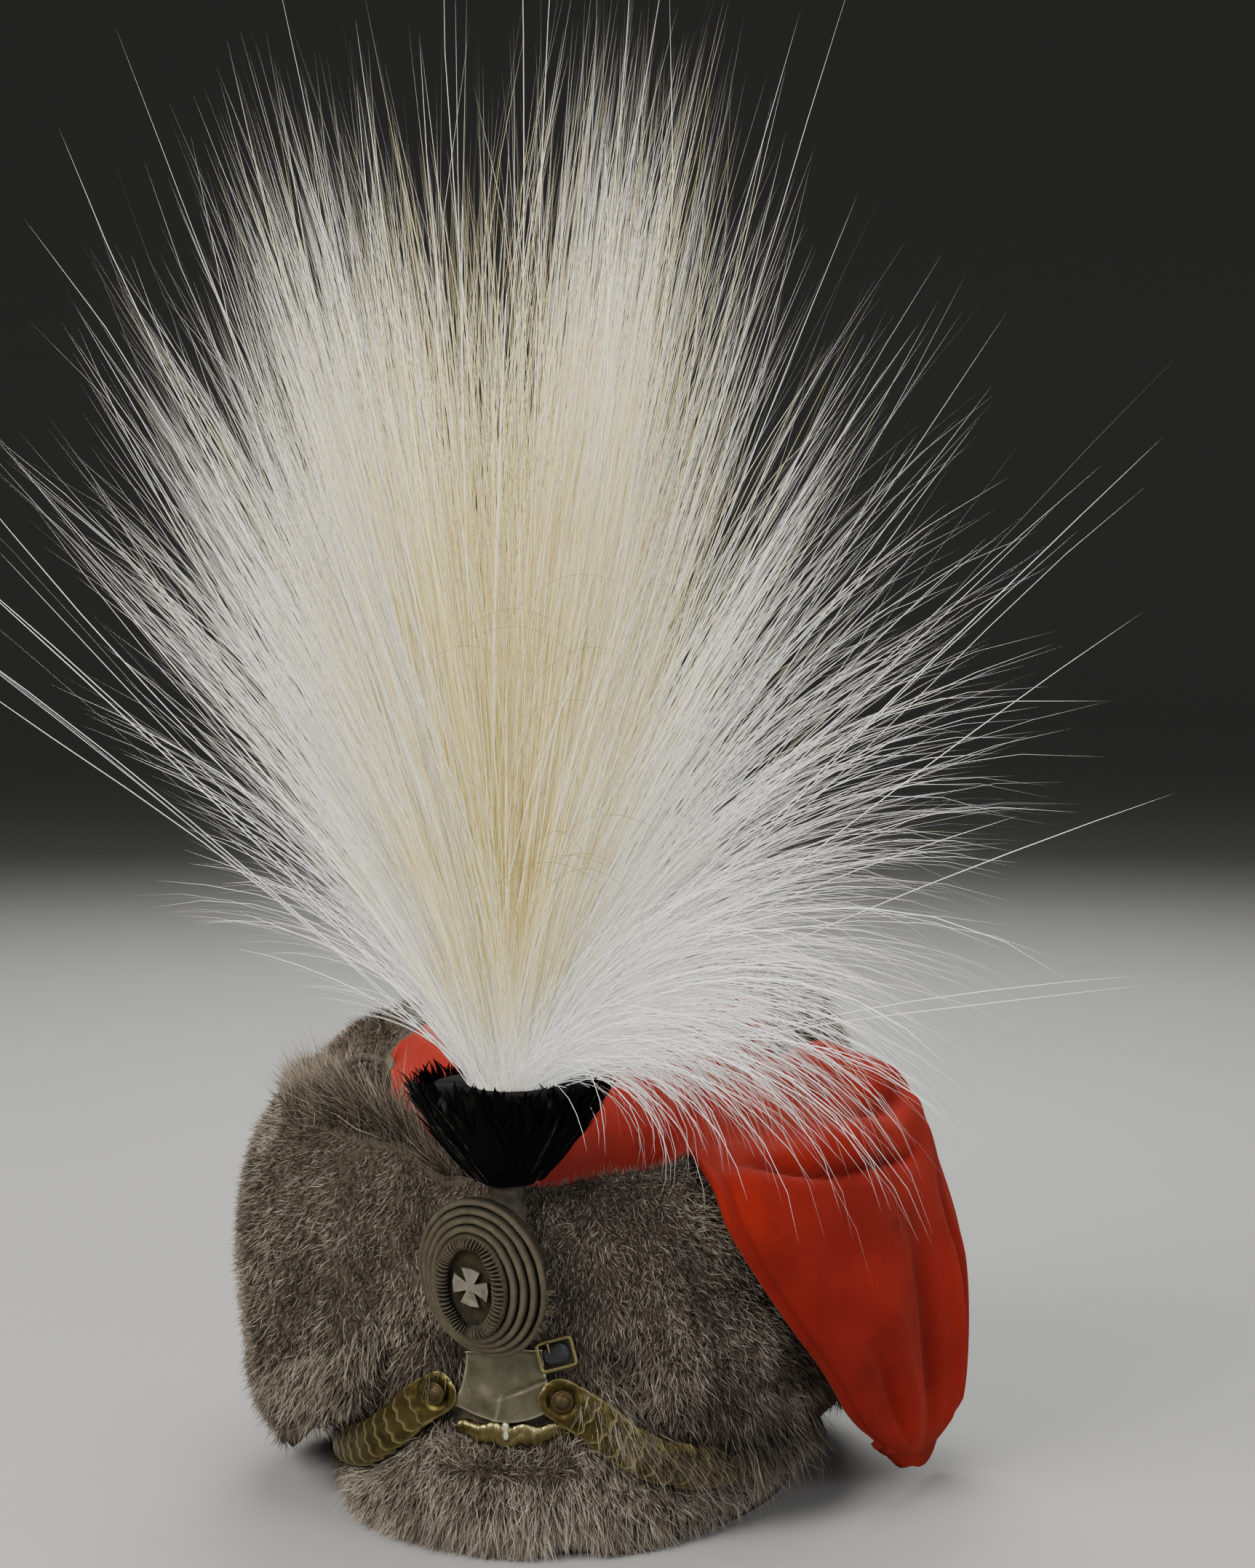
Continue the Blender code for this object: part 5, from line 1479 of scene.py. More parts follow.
def build_plume_head(shade):
    """Heart of the plume: a turned form that swells and closes in a point, ribbed round its axis."""
    levels = np.linspace(0, 1, 40)
    angle = full_turn(48)
    radius = np.interp(
        levels, [0, 0.10, 0.12, 0.2, 0.4, 0.62, 0.85, 1.0],
        [0.010, 0.010, 0.0115, 0.012, 0.014, 0.014, 0.009, 0.0006]
    )
    height = -0.0195 + 0.130 * levels
    ribs = 1 + 0.06 * np.sin(11 * angle)[None, :] * levels[:, None]
    points = np.stack(
        [
            radius[:, None] * ribs * np.cos(angle), radius[:, None] * ribs * np.sin(angle) * 0.9,
            height[:, None] + 0 * angle
        ],
        -1
    )
    faces = grid_faces(40, 48, False, True)
    ends = np.array([[0, 0, height[0]], [0, 0, height[-1] + 0.0004]])
    points = np.concatenate([points.reshape(-1, 3), ends]) + plume_base()
    tone = np.full(len(points), 0.45)
    made = piece_from(
        "plume_head", points, faces, shade, "plume", end_fans(40 * 48, 48),
        {"tone": tone, "dim": 0 * tone + 0.8}, closed=True
    )


# Columns: offsets across and up in the photo's plane of the foot, the bend and the tip, offset towards
# the viewer, radius
QUILLS = (
    (-0.0045, 0.0, -0.004, 0.130, 0.001, 0.270, 0.016, 0.00075),
    (0.0010, 0.0, 0.022, 0.130, 0.038, 0.245, 0.018, 0.00080),
    (-0.0020, 0.0, -0.012, 0.150, -0.014, 0.300, 0.010, 0.00045),
    (0.0040, 0.0, 0.030, 0.160, 0.034, 0.320, 0.012, 0.00050),
    (0.0050, 0.0, 0.058, 0.120, 0.110, 0.205, 0.014, 0.00040),
)


def build_quills(shade):
    """Thick white quills: tapered tubes on a bent line through foot, bend and tip."""
    share = np.linspace(0, 1, 14)[:, None]
    parts = []
    for x0, z0, x1, z1, x2, z2, front, radius in QUILLS:
        foot, bend, tip = (np.array(p) for p in ((x0, z0), (x1, z1), (x2, z2)))
        handle = 2 * bend - (foot + tip) / 2
        flat = foot * (1 - share) ** 2 + handle * 2 * share * (1 - share) + tip * share ** 2
        near = front * np.sin(share * np.pi * 0.55)
        path = (
            plume_base() + flat[:, :1] * VIEW_RIGHT + flat[:, 1:] * UPWARD
            - (0.006 + near) * VIEW_AHEAD
        )
        taper = np.interp(share[:, 0], [0, 0.7, 1], [1, 0.7, 0.12])
        parts.append(capped_tube(path, radius * taper, 7, -VIEW_AHEAD))
    points, quads, triangles, _ = joined(parts)
    made = piece_from(
        "plume_quills", points, quads, shade, "plume", triangles,
        {"tone": np.full(len(points), 0.02), "dim": np.ones(len(points))}
    )


def build_dark_hairs(shade):
    """A few fine dark hairs that curve across the heart of the plume."""
    random = np.random.default_rng(93)
    count = 16
    share = np.linspace(0, 1, 9)
    start = random.uniform(-0.035, 0.010, count)
    level = random.uniform(0.05, 0.16, count)
    span = random.uniform(0.02, 0.05, count)
    rise = random.uniform(-0.008, 0.016, count)
    across = start[:, None] + span[:, None] * share
    up = level[:, None] + rise[:, None] * share + 0.010 * np.sin(np.pi * share)
    near = 0.030 + 0.12 * level[:, None] + 0 * share
    path = (
        plume_base() + across[..., None] * VIEW_RIGHT + up[..., None] * UPWARD
        - near[..., None] * VIEW_AHEAD
    )
    widths = np.full((count, 9), 0.00016)
    side = np.repeat(np.array([[0, 0, 1.0]]), count, 0)
    points, quads, triangles, values = blades(path, widths, side, np.full((count, 9), 0.95))
    made = piece_from(
        "plume_dark_hairs", points, quads, shade, "plume", triangles,
        {"tone": values, "dim": 0 * values + 0.35}
    )


# Cup and stem


# Columns: radius and height of the funnel, from the middle of its floor over its lip to its foot
CUP_FUNNEL = (
    (0.0002, 0.0175),
    (0.0100, 0.0175),
    (0.0106, 0.0340),
    (0.0200, 0.0352),
    (0.0262, 0.0350),
    (0.0290, 0.0320),
    (0.0262, 0.0250),
    (0.0215, 0.0170),
    (0.0160, 0.0090),
    (0.0110, 0.0030),
    (0.0092, 0.0002),
    (0.0002, 0.0000),
)


def build_cup():
    """Cup of black feathers: a turned funnel under layers of narrow blades that part at its lip."""
    random = np.random.default_rng(37)
    base = plume_base() - np.array([0, 0, CUP_HEIGHT])
    profile = np.array(CUP_FUNNEL)
    angle = full_turn(40)
    funnel = np.stack(
        [profile[:, :1] * np.cos(angle), profile[:, :1] * np.sin(angle), profile[:, 1:] + 0 * angle], -1
    )
    faces = grid_faces(len(profile), 40, False, True)
    funnel = np.concatenate([funnel.reshape(-1, 3), [[0, 0, 0.0175]], [[0, 0, 0]]])
    uv = np.stack([funnel[:, 2], np.arctan2(funnel[:, 1], funnel[:, 0]) / 6.2832], -1)
    blade_count = 620
    turn = random.uniform(0, 2 * np.pi, blade_count)
    layer = random.random(blade_count)
    foot = 0.0015 + 0.019 * layer
    length = random.uniform(0.018, 0.030, blade_count)
    share = np.linspace(0, 1, 7)
    height = foot[:, None] + length[:, None] * share * 0.92
    outline = np.interp(
        np.clip(height, 0, 0.036), [0, 0.003, 0.009, 0.017, 0.025, 0.032, 0.036],
        [0.0100, 0.0122, 0.0172, 0.0228, 0.0274, 0.0302, 0.0312]
    )
    flare = 0.0012 + 0.0055 * share ** 2 * random.random(blade_count)[:, None] ** 2 * (height / 0.03)
    radius = outline + flare
    height = np.where(height > 0.036, 0.036 + (height - 0.036) * 0.45, height)
    twist = turn[:, None] + random.normal(0, 0.16, blade_count)[:, None] * share
    centre = np.stack([radius * np.sin(twist), -radius * np.cos(twist), height], -1)
    outward = np.stack([np.sin(twist), -np.cos(twist), 0 * twist], -1)
    across = np.stack([np.cos(twist), np.sin(twist), 0 * twist], -1)
    wide = (
        random.uniform(0.0009, 0.0019, blade_count)[:, None]
        * np.interp(share, [0, 0.3, 0.7, 1], [0.5, 1, 0.85, 0.06])
    )
    tilt = random.normal(0, 0.35, blade_count)[:, None, None]
    wing = across + outward * tilt
    sheet = np.stack(
        [
            centre - wing * wide[..., None], centre + outward * (wide * 0.45)[..., None],
            centre + wing * wide[..., None]
        ],
        2
    )
    quads = grid_faces(7, 3)
    quads = (quads[None] + (np.arange(blade_count) * 21)[:, None, None]).reshape(-1, 4)
    shift = len(funnel)
    blade_uv = np.stack(
        np.broadcast_arrays(share[None, :, None] * 0.03, np.array([-0.5, 0, 0.5])[None, None, :]), -1
    )
    blade_uv = np.broadcast_to(blade_uv, (blade_count, 7, 3, 2)).reshape(-1, 2)
    points = np.concatenate([funnel, sheet.reshape(-1, 3)]) + base
    # Painted glint: grey on some of the blades that face left, towards the key light, and on a few blades
    # anywhere.
    left = np.clip(-np.sin(turn - VIEW_TURN) - 0.25, 0, 1)
    painted_glint = np.clip(
        0.02 + 0.85 * left * (random.random(blade_count) > 0.72)
        + 0.6 * (random.random(blade_count) > 0.96),
        0, 1
    )
    tone = np.concatenate([np.full(shift, 0.05), np.repeat(painted_glint, 21)])
    made = piece_from(
        "cup_feathers", points, np.concatenate([faces, quads + shift]), feather_material(), "feather_cup",
        end_fans(len(profile) * 40, 40), {"tone": tone}, np.concatenate([uv, blade_uv]),
    )


def build_stem():
    """Stem: a round section with a flat wrap wound up it in a helix, closed at both ends."""
    top = plume_base()[2] - CUP_HEIGHT - GAP
    centre = seat(np.array(STEM_AZIMUTH), np.array(0.0), GAP + STEM_RADIUS)
    share = np.linspace(0, 1, 60)
    path = np.stack([np.full(60, centre[0]), np.full(60, centre[1]), top - STEM_LENGTH * (1 - share)], -1)
    radius = np.full(60, STEM_RADIUS * 0.97)
    points, quads, triangles, uv = capped_tube(path, radius, 28, (1, 0, 0), lobes=1, turns=7.0, depth=0.035)
    shade = plain_grain_material(
        "stem_wrap", (0.018, 0.015, 0.009), (0.075, 0.064, 0.042), 0.7, 120.0, 1500.0, 0.0005
    )
    made = piece_from("stem_wrap", points, quads, shade, "plume_stem", triangles, uv=uv, closed=True)


# Cockade


def cockade_matrix():
    yaw, pitch = math.radians(COCKADE_YAW), math.radians(COCKADE_PITCH)
    outward = np.array([math.sin(yaw) * math.cos(pitch), -math.cos(yaw) * math.cos(pitch), math.sin(pitch)])
    clear = GAP + 2 * STEM_RADIUS + GAP
    spread = COCKADE_HALF_WIDTH * abs(math.sin(yaw)) * COCKADE_TURN_SHARE
    origin = seat(np.array(0.0), np.array(COCKADE_CENTRE_HEIGHT), clear - spread + COCKADE_EDGE)
    across = unit(np.cross(UPWARD, outward))
    up = np.cross(outward, across)
    roll = math.radians(COCKADE_ROLL)
    x = across * math.cos(roll) + up * math.sin(roll)
    y = -across * math.sin(roll) + up * math.cos(roll)
    return origin, np.stack([x, y, outward])


def in_cockade(local):
    origin, axes = cockade_matrix()
    return origin + local @ axes


def cockade_oval(share, angle, height, reach=0.0):
    """Point on the cockade's oval at a share of its width; the inner ovals are longer in shape."""
    longer = COCKADE_LONG * (1 - share) * np.minimum(share / COCKADE_HOLE_SHARE, 1.0)
    wide = COCKADE_HALF_WIDTH * share + reach
    tall = COCKADE_HALF_HEIGHT * share + longer + reach
    return np.stack(np.broadcast_arrays(wide * np.cos(angle), tall * np.sin(angle), height), -1)


def cockade_height(share):
    return COCKADE_EDGE + COCKADE_RISE * (1 - share ** COCKADE_DOME_POWER)


def build_cockade():
    """Rounds of gimp cord on a domed backing, a twisted rope ring, a dark field and frayed wire."""
    cord = gimp_material("tarnished_gimp", (0.30, 0.255, 0.17), (0.020, 0.016, 0.009), 5200.0, 3.1416)
    angle = full_turn(300)
    band = (1 - COCKADE_HOLE_SHARE) / COCKADE_CORDS
    parts, cord_shading = [], []
    random = np.random.default_rng(52)
    for number in range(COCKADE_CORDS):
        share = COCKADE_HOLE_SHARE + band * (number + 0.5)
        radius = band * COCKADE_HALF_WIDTH * 0.49
        wobble = (
            0.00010 * np.sin(angle * random.integers(5, 9) + random.uniform(0, 6))
            + 0.00006 * np.sin(angle * 17 + number)
        )
        height = cockade_height(share) - radius * 0.30 + wobble
        path = in_cockade(cockade_oval(share, angle, height))
        outward = cockade_matrix()[1][2]
        points, quads, uv = tube(path, radius, 12, outward, closed=True)
        parts.append((points, quads, None, uv))
        # Painted shade: each cord darker on its two sides, where it meets the next cord.
        cord_shading.append(1 - 0.80 * np.abs(np.cos(2 * np.pi * uv[:, 1])) ** 3)
    shares = np.array([COCKADE_HOLE_SHARE, 0.52, 0.64, 0.76, 0.88, 0.965, 0.965, 0.7, COCKADE_HOLE_SHARE])
    heights = cockade_height(shares) - 0.0022
    heights[-3:] = 0.0004
    turn = full_turn(72)
    backing = in_cockade(cockade_oval(shares[:, None], turn[None, :], heights[:, None]))
    uv = np.stack(np.broadcast_arrays(shares[:, None] * 0.05, turn[None, :]), -1).reshape(-1, 2)
    parts.append((backing.reshape(-1, 3), grid_faces(len(shares), 72, True, True), None, uv))
    # Painted shade: the backing under the cords is darkened so that the gaps between them read as shadow.
    cord_shading.append(np.full(len(uv), 0.25))
    points, quads, _, uv = joined(parts)
    made = piece_from(
        "cockade_gimp", points, quads, cord, "cockade_cords", values={"dim": np.concatenate(cord_shading)}, uv=uv
    )

    rope_metal = gimp_material(
        "rope_gimp", (0.30, 0.26, 0.175), (0.015, 0.012, 0.007), 14000.0, 6.2832, 0.6
    )
    top = cockade_height(COCKADE_HOLE_SHARE) - COCKADE_CORD_RELIEF
    fine = full_turn(560)
    path = in_cockade(
        cockade_oval(COCKADE_HOLE_SHARE, fine, top + ROPE_RADIUS * 0.7 + 0.00025 * np.sin(fine * 9))
    )
    points, quads, uv = tube(
        path, ROPE_RADIUS * 0.92, 14, cockade_matrix()[1][2], closed=True, lobes=1, turns=64, depth=0.30
    )
    # Painted shade: the rope darker in the grooves between its twisted strands.
    twist_shading = np.cos(2 * np.pi * (uv[:, 1] - 64 * np.repeat(np.arange(len(fine)) / len(fine), 14)))
    made = piece_from(
        "rope_ring", points, quads, rope_metal, "cockade_rope", values={"dim": 0.52 + 0.48 * twist_shading}, uv=uv
    )

    dark = plain_grain_material(
        "dark_velvet", (0.012, 0.009, 0.005), (0.045, 0.037, 0.020), 0.95, 150.0, 1900.0, 0.0003, 0.1, 0.1
    )
    levels = np.array([0.001, 0.12, 0.25, 0.36, 0.425, 0.425, 0.001])
    heights = np.array(
        [top - 0.0004, top - 0.0004, top - 0.0005, top - 0.0006, top - 0.0008, 0.0006, 0.0006]
    )
    field = in_cockade(cockade_oval(levels[:, None], turn[None, :], heights[:, None]))
    made = piece_from(
        "velvet_field", field, grid_faces(len(levels), 72, False, True), dark, "cockade_field"
    )

    parts = []
    for number in range(9):
        start = random.uniform(-0.75, 0.25)
        s = np.linspace(0, 1, 26)
        curl = 0.0012 * random.uniform(0.7, 1.5)
        coils = random.uniform(1.5, 3.5)
        around = start + 0.10 * s * random.uniform(0.6, 2.2)
        reach = 0.0004 + 0.0032 * s * random.uniform(0.3, 1.0) + curl * np.sin(coils * 2 * np.pi * s) * s
        height = (
            cockade_height(0.93) - 0.0008 + curl * (1 - np.cos(coils * 2 * np.pi * s)) * s
            + random.uniform(-0.0004, 0.001)
        )
        path = in_cockade(cockade_oval(0.965, around, height, reach))
        parts.append(capped_tube(path, 0.00026, 6, cockade_matrix()[1][2]))
    points, quads, triangles, uv = joined(parts)
    made = piece_from(
        "frayed_wire", points, quads, rope_metal, None, triangles, {"dim": np.ones(len(points))}, uv
    )


# Metalwork


def metal_slab(name, outer, inner, shade, node_name, edge):
    points, faces = slab(outer, inner)
    values = np.concatenate([edge.ravel(), edge.ravel()])
    return piece_from(name, points, faces, shade, node_name, values={"edge": values}, closed=True)


def build_plate(shade):
    """Scroll: a thin dented sheet bent round the cap, its top rolled out, its sides flared at the foot.

    Its half width grows from the top to the foot, and its lower edge hangs in a shallow tongue.
    """
    across, along = share_grid(61, 41)
    side = 2 * across - 1
    flare = 1 + PLATE_FOOT_FLARE * (1 - along) ** 2
    azimuth = PLATE_MIDDLE_AZIMUTH + side * PLATE_SPREAD * flare
    bottom = (
        PLATE_BOTTOM - 0.0010 + 0.0062 * np.abs(side) ** 1.7
        - 0.0014 * np.exp(-(np.abs(side) - 1) ** 2 / 0.02)
    )
    top = PLATE_BOTTOM + PLATE_HEIGHT * (0.90 + 0.10 * across) + 0.0004 * np.sin(side * 5)
    height = bottom + (top - bottom) * along
    dents = 0.0005 * rolling_noise(across * 4, along * 3, 31)
    crease = (
        -0.0007 * np.exp(-((along - 0.24 - 0.25 * across) / 0.035) ** 2) * np.clip(across * 3 - 1, 0, 1)
    )
    crease += (
        0.0006 * np.exp(-((across - 0.42 - 0.12 * along) / 0.03) ** 2) * np.clip(1 - along * 2.4, 0, 1)
    )
    roll = 0.0016 * np.clip((along - 0.90) / 0.10, 0, 1) ** 2
    lift = 2 * GAP + 0.0009 + dents + crease + roll
    inner = seat(azimuth, height, lift - 0.0004)
    outer = seat(azimuth, height, lift + 0.0004)
    to_edge = np.minimum(np.minimum(across, 1 - across), np.minimum(along, 1 - along))
    # Painted highlight, with rubbed metal: brighter along all four edges and along the ridge on the sheet's
    # lower part.
    edge = (
        np.exp(-(to_edge / 0.018) ** 2)
        + 0.25 * np.exp(-((across - 0.42 - 0.12 * along) / 0.015) ** 2) * (along < 0.4)
    )
    made = metal_slab("scroll_sheet", outer, inner, shade, "scroll_plate", np.clip(edge, 0, 1))


def build_bar(shade):
    """Brass strip: a convex bar whose depth swells at its middle, beaten in waves along its top."""
    across, along = share_grid(81, 15)
    middle = np.sin(np.pi * across)
    azimuth = -9.4 + 25.0 * across
    height_of = BAR_HEIGHT * (0.62 + 0.55 * middle + 0.10 * np.abs(np.sin(across * 27)))
    top = PLATE_BOTTOM - GAP * 2 - 0.0008 + 0.0006 * np.sin(across * 23)
    height = top - height_of * (1 - along)
    crown = np.sqrt(np.clip(1 - (2 * along - 1) ** 2, 0, 1))
    thinner = np.clip((azimuth - 9.5) / 4, 0, 1)
    lift = (
        2 * GAP
        + (0.0006 + 0.0017 * crown + 0.0003 * rolling_noise(across * 26, along * 2, 33))
        * (1 - 0.75 * thinner)
    )
    outer = seat(azimuth, height, lift)
    inner = seat(azimuth, height, 0 * lift + GAP)
    # Painted highlight: brighter along the top edge, and a little brighter towards the middle.
    edge = np.clip(0.95 * np.exp(-((along - 0.90) / 0.12) ** 2) + 0.2 * middle, 0, 1)
    made = metal_slab("chin_strip", outer, inner, shade, "chin_bar", edge)


def rounded_box_path(width, height, corner, count=96):
    """Superellipse whose power grows as its corners tighten."""
    angle = full_turn(count)
    power = 2 / max(2.0, min(width, height) / corner)
    x = np.sign(np.cos(angle)) * np.abs(np.cos(angle)) ** power * width / 2
    y = np.sign(np.sin(angle)) * np.abs(np.sin(angle)) ** power * height / 2
    return np.stack([x, y], -1)


def buckle_axes():
    azimuth = np.array(BUCKLE_AZIMUTH)
    outward = seat_normal(azimuth)
    origin = seat(azimuth, np.array(PLATE_BOTTOM + PLATE_HEIGHT * BUCKLE_LEVEL_SHARE), 3 * GAP + SHEET)
    across = unit(np.cross(UPWARD, outward))
    up = np.cross(outward, across)
    tilt = math.radians(BUCKLE_TILT)
    return origin, np.stack(
        [
            across * math.cos(tilt) + up * math.sin(tilt), -across * math.sin(tilt) + up * math.cos(tilt),
            outward
        ]
    )


def build_buckle(shade):
    """Buckle: a round bar carried along a rounded box, a pointed tongue and a humped strap end."""
    origin, axes = buckle_axes()
    flat = rounded_box_path(BUCKLE_WIDTH * 1.02, BUCKLE_HEIGHT * 1.02, 0.0012)
    path = origin + np.concatenate([flat * 0.90, np.full((len(flat), 1), 0.0010)], 1) @ axes
    points, quads, _ = tube(path, 0.00085, 10, axes[2], closed=True)
    made = piece_from(
        "buckle_ring", points, quads, shade, "buckle_frame", values={"edge": np.full(len(points), 0.55)}
    )
    s = np.linspace(0, 1, 12)
    tongue = np.stack(
        [np.full(12, -BUCKLE_WIDTH * 0.16), BUCKLE_HEIGHT * (0.44 - 0.36 * s), 0.0021 - 0.0004 * s], -1
    )
    points, quads, triangles, _ = capped_tube(origin + tongue @ axes, 0.00055 * (1 - 0.5 * s), 8, axes[2])
    made = piece_from(
        "buckle_prong", points, quads, shade, "buckle_tongue", triangles,
        {"edge": np.full(len(points), 0.7)}
    )
    u = np.linspace(-1, 1, 24)[:, None] + np.zeros((1, 18))
    v = np.linspace(-1, 1, 18)[None, :] + np.zeros((24, 1))
    narrower = np.sqrt(np.clip(1 - 0.5 * np.abs(v) ** 4, 0, 1))
    lower = np.sqrt(np.clip(1 - 0.5 * np.abs(u) ** 6, 0, 1))
    local = np.stack(
        [
            u * 0.0047 * narrower, v * 0.0037 * lower,
            0.0009 + 0.0007 * (1 - u ** 4) * (1 - v ** 4) + 0.0003 * np.sin(u * 3)
        ],
        -1
    )
    outer = origin + local @ axes
    inner = origin + (local * np.array([1, 1, 0]) + np.array([0, 0, 0.0002])) @ axes
    leather = plain_grain_material(
        "strap_leather", (0.006, 0.006, 0.007), (0.030, 0.030, 0.034), 0.42, 300.0, 2600.0, 0.0003, 0.5
    )
    made = metal_slab("leather_end", outer, inner, leather, "strap_end", 0 * u)


def chin_samples(side):
    azimuth = np.linspace(CHIN_ROUTE[0][0], CHIN_ROUTE[-1][0], 400)
    points = seat(side * azimuth, FUR_HEIGHT * table_value(CHIN_ROUTE, azimuth, 1), 0.0)
    run = np.concatenate([[0], np.cumsum(np.linalg.norm(np.diff(points, axis=0), axis=1))])
    return points, run


def chin_place(samples, run, across, lift):
    """Point at a run along the strap, moved across it and lifted; before the start it goes straight."""
    points, lengths = samples
    slope = (points[1] - points[0]) / (lengths[1] - lengths[0])
    spot = np.stack([np.interp(run, lengths, points[:, k]) for k in range(3)], -1)
    spot = spot + np.minimum(run, 0)[..., None] * slope
    ahead = np.stack(
        [
            np.interp(np.maximum(run, 0) + 0.0006, lengths, points[:, k])
            - np.interp(np.maximum(run, 0), lengths, points[:, k])
            for k in range(3)
        ],
        -1
    )
    azimuth = np.degrees(np.arctan2(spot[..., 0] / SEAT_HALF_WIDTH, -spot[..., 1] / SEAT_HALF_LENGTH))
    normal = seat_normal(azimuth)
    width = unit(np.cross(unit(ahead), normal))
    width = np.where(width[..., 2:] < 0, -width, width)
    return spot + normal * lift[..., None] + width * across[..., None]


def scale_lift(run, start, away):
    slope = (SCALE_THICKNESS + GAP) / SCALE_PITCH
    arch = SCALE_ARCH * (1 - (2 * away / SCALE_WIDTH) ** 2)
    return 3 * GAP + SHEET + slope * np.maximum(run - start, 0.0) + arch


def build_scales(word, side, count, shade):
    """Overlapping scales, each arched across, its free end scalloped and its lip turned up."""
    samples = chin_samples(side)
    random = np.random.default_rng(60 + (side > 0))
    across, along = share_grid(25, 17)
    parts, edges = [], []
    for number in range(1, count + 1):
        start = SCALE_PITCH * number
        wide = 2 * across - 1
        scallop = 1 - 0.16 * wide ** 2 + 0.045 * np.cos(wide * np.pi * 3.0)
        run = start + SCALE_LENGTH * along * scallop
        away = SCALE_WIDTH / 2 * (1 - 0.10 * along ** 3) * wide
        lift = scale_lift(run, start, away)
        lift = (
            lift + 0.0004 * along ** 6 + 0.0003 * (1 - wide ** 2) * np.sin(np.pi * along)
            + random.uniform(-0.00005, 0.00012)
        )
        skew = random.normal(0, 0.0004)
        outer = chin_place(samples, run, away + skew * along, lift + SCALE_THICKNESS)
        inner = chin_place(samples, run, away + skew * along, lift + 0.0002)
        points, faces = slab(outer, inner)
        parts.append((points, faces, None, np.zeros((len(points), 2))))
        # Painted highlight, with rubbed metal: brighter along each scale's free end and, fainter, along its
        # two sides.
        edge = np.maximum(
            np.exp(-((1 - along) / 0.07) ** 2), 0.6 * np.exp(-((1 - np.abs(wide)) / 0.06) ** 2)
        )
        edges.append(np.concatenate([edge.ravel(), edge.ravel()]))
    points, quads, _, _ = joined(parts)
    nodes = [f"chin_scale_{word}_{number:02d}" for number in range(1, count + 1)]
    made = piece_from(
        f"scales_{word}", points, quads, shade, nodes, values={"edge": np.concatenate(edges)}, closed=True
    )


def build_lug(word, side, shade, rusty):
    """Lug: a round-headed tongue of brass over the first scale, dished round a low domed stud."""
    samples = chin_samples(side)
    across, along = share_grid(33, 41)
    wide = 2 * across - 1
    run = (
        -LUG_RADIUS
        + (LUG_RADIUS + SCALE_LENGTH * 0.95) * along * (1 + 0.03 * np.cos(wide * np.pi * 3) * along ** 6)
    )
    inside = np.minimum(run / LUG_RADIUS, 0.0)
    away = LUG_RADIUS * 0.97 * np.sqrt(1 - 0.96 * inside ** 2) * wide
    lift = scale_lift(run, 0.0, away)
    far = np.hypot(run, away)
    lift = (
        lift + 0.0006 * np.exp(-((far - STUD_RADIUS * 1.5) / 0.0012) ** 2)
        + 0.0002 * rolling_noise(across * 5, along * 6, 66)
    )
    outer = chin_place(samples, run, away, lift + SCALE_THICKNESS)
    inner = chin_place(samples, run, away, lift + 0.0001)
    border = np.minimum(np.minimum(across, 1 - across), np.minimum(along, 1 - along))
    edge = 0.9 * np.exp(-(border / 0.03) ** 2)
    made = metal_slab(f"lug_{word}", outer, inner, shade, f"chin_lug_{word}", edge)

    centre = chin_place(
        samples, np.array(0.0), np.array(0.0),
        scale_lift(np.array(0.0), 0.0, np.array(0.0)) + SCALE_THICKNESS + 2 * GAP
    )
    azimuth = np.degrees(np.arctan2(centre[0] / SEAT_HALF_WIDTH, -centre[1] / SEAT_HALF_LENGTH))
    outward = seat_normal(azimuth)
    first = unit(np.cross(UPWARD, outward))
    second = np.cross(outward, first)
    radius = np.array([1.0, 0.99, 0.93, 0.80, 0.70, 0.62, 0.45, 0.25, 0.02]) * STUD_RADIUS
    rise = np.array([0.0, 0.16, 0.24, 0.26, 0.22, 0.36, 0.48, 0.55, 0.57]) * STUD_RADIUS
    turn = full_turn(36)
    radius = np.concatenate([[1e-5], radius])
    rise = np.concatenate([[0.0], rise])
    points = (
        centre + (radius[:, None] * np.cos(turn))[..., None] * first
        + (radius[:, None] * np.sin(turn))[..., None] * second + rise[:, None, None] * outward
    )
    made = piece_from(
        f"stud_{word}", points, grid_faces(len(radius), 36, False, True), rusty, f"lug_stud_{word}",
        values={"edge": np.full(points.shape[:2], 0.3)}, closed=True
    )


def build_pin(shade):
    """Bright pin on the strip: a tapered tube that narrows downward."""
    azimuth = np.full(12, 2.2)
    share = np.linspace(0, 1, 12)
    path = seat(azimuth, PLATE_BOTTOM - 0.0002 - 0.0072 * share, 0.0032 - 0.0006 * share)
    radius = np.interp(share, [0, 0.1, 0.5, 0.8, 1], [0.0006, 0.0013, 0.0010, 0.0013, 0.0004])
    points, quads, triangles, _ = capped_tube(path, radius, 10, seat_normal(np.array(2.2)))
    made = piece_from(
        "strip_pin", points, quads, shade, "bar_pin", triangles, {"edge": np.full(len(points), 0.9)}
    )


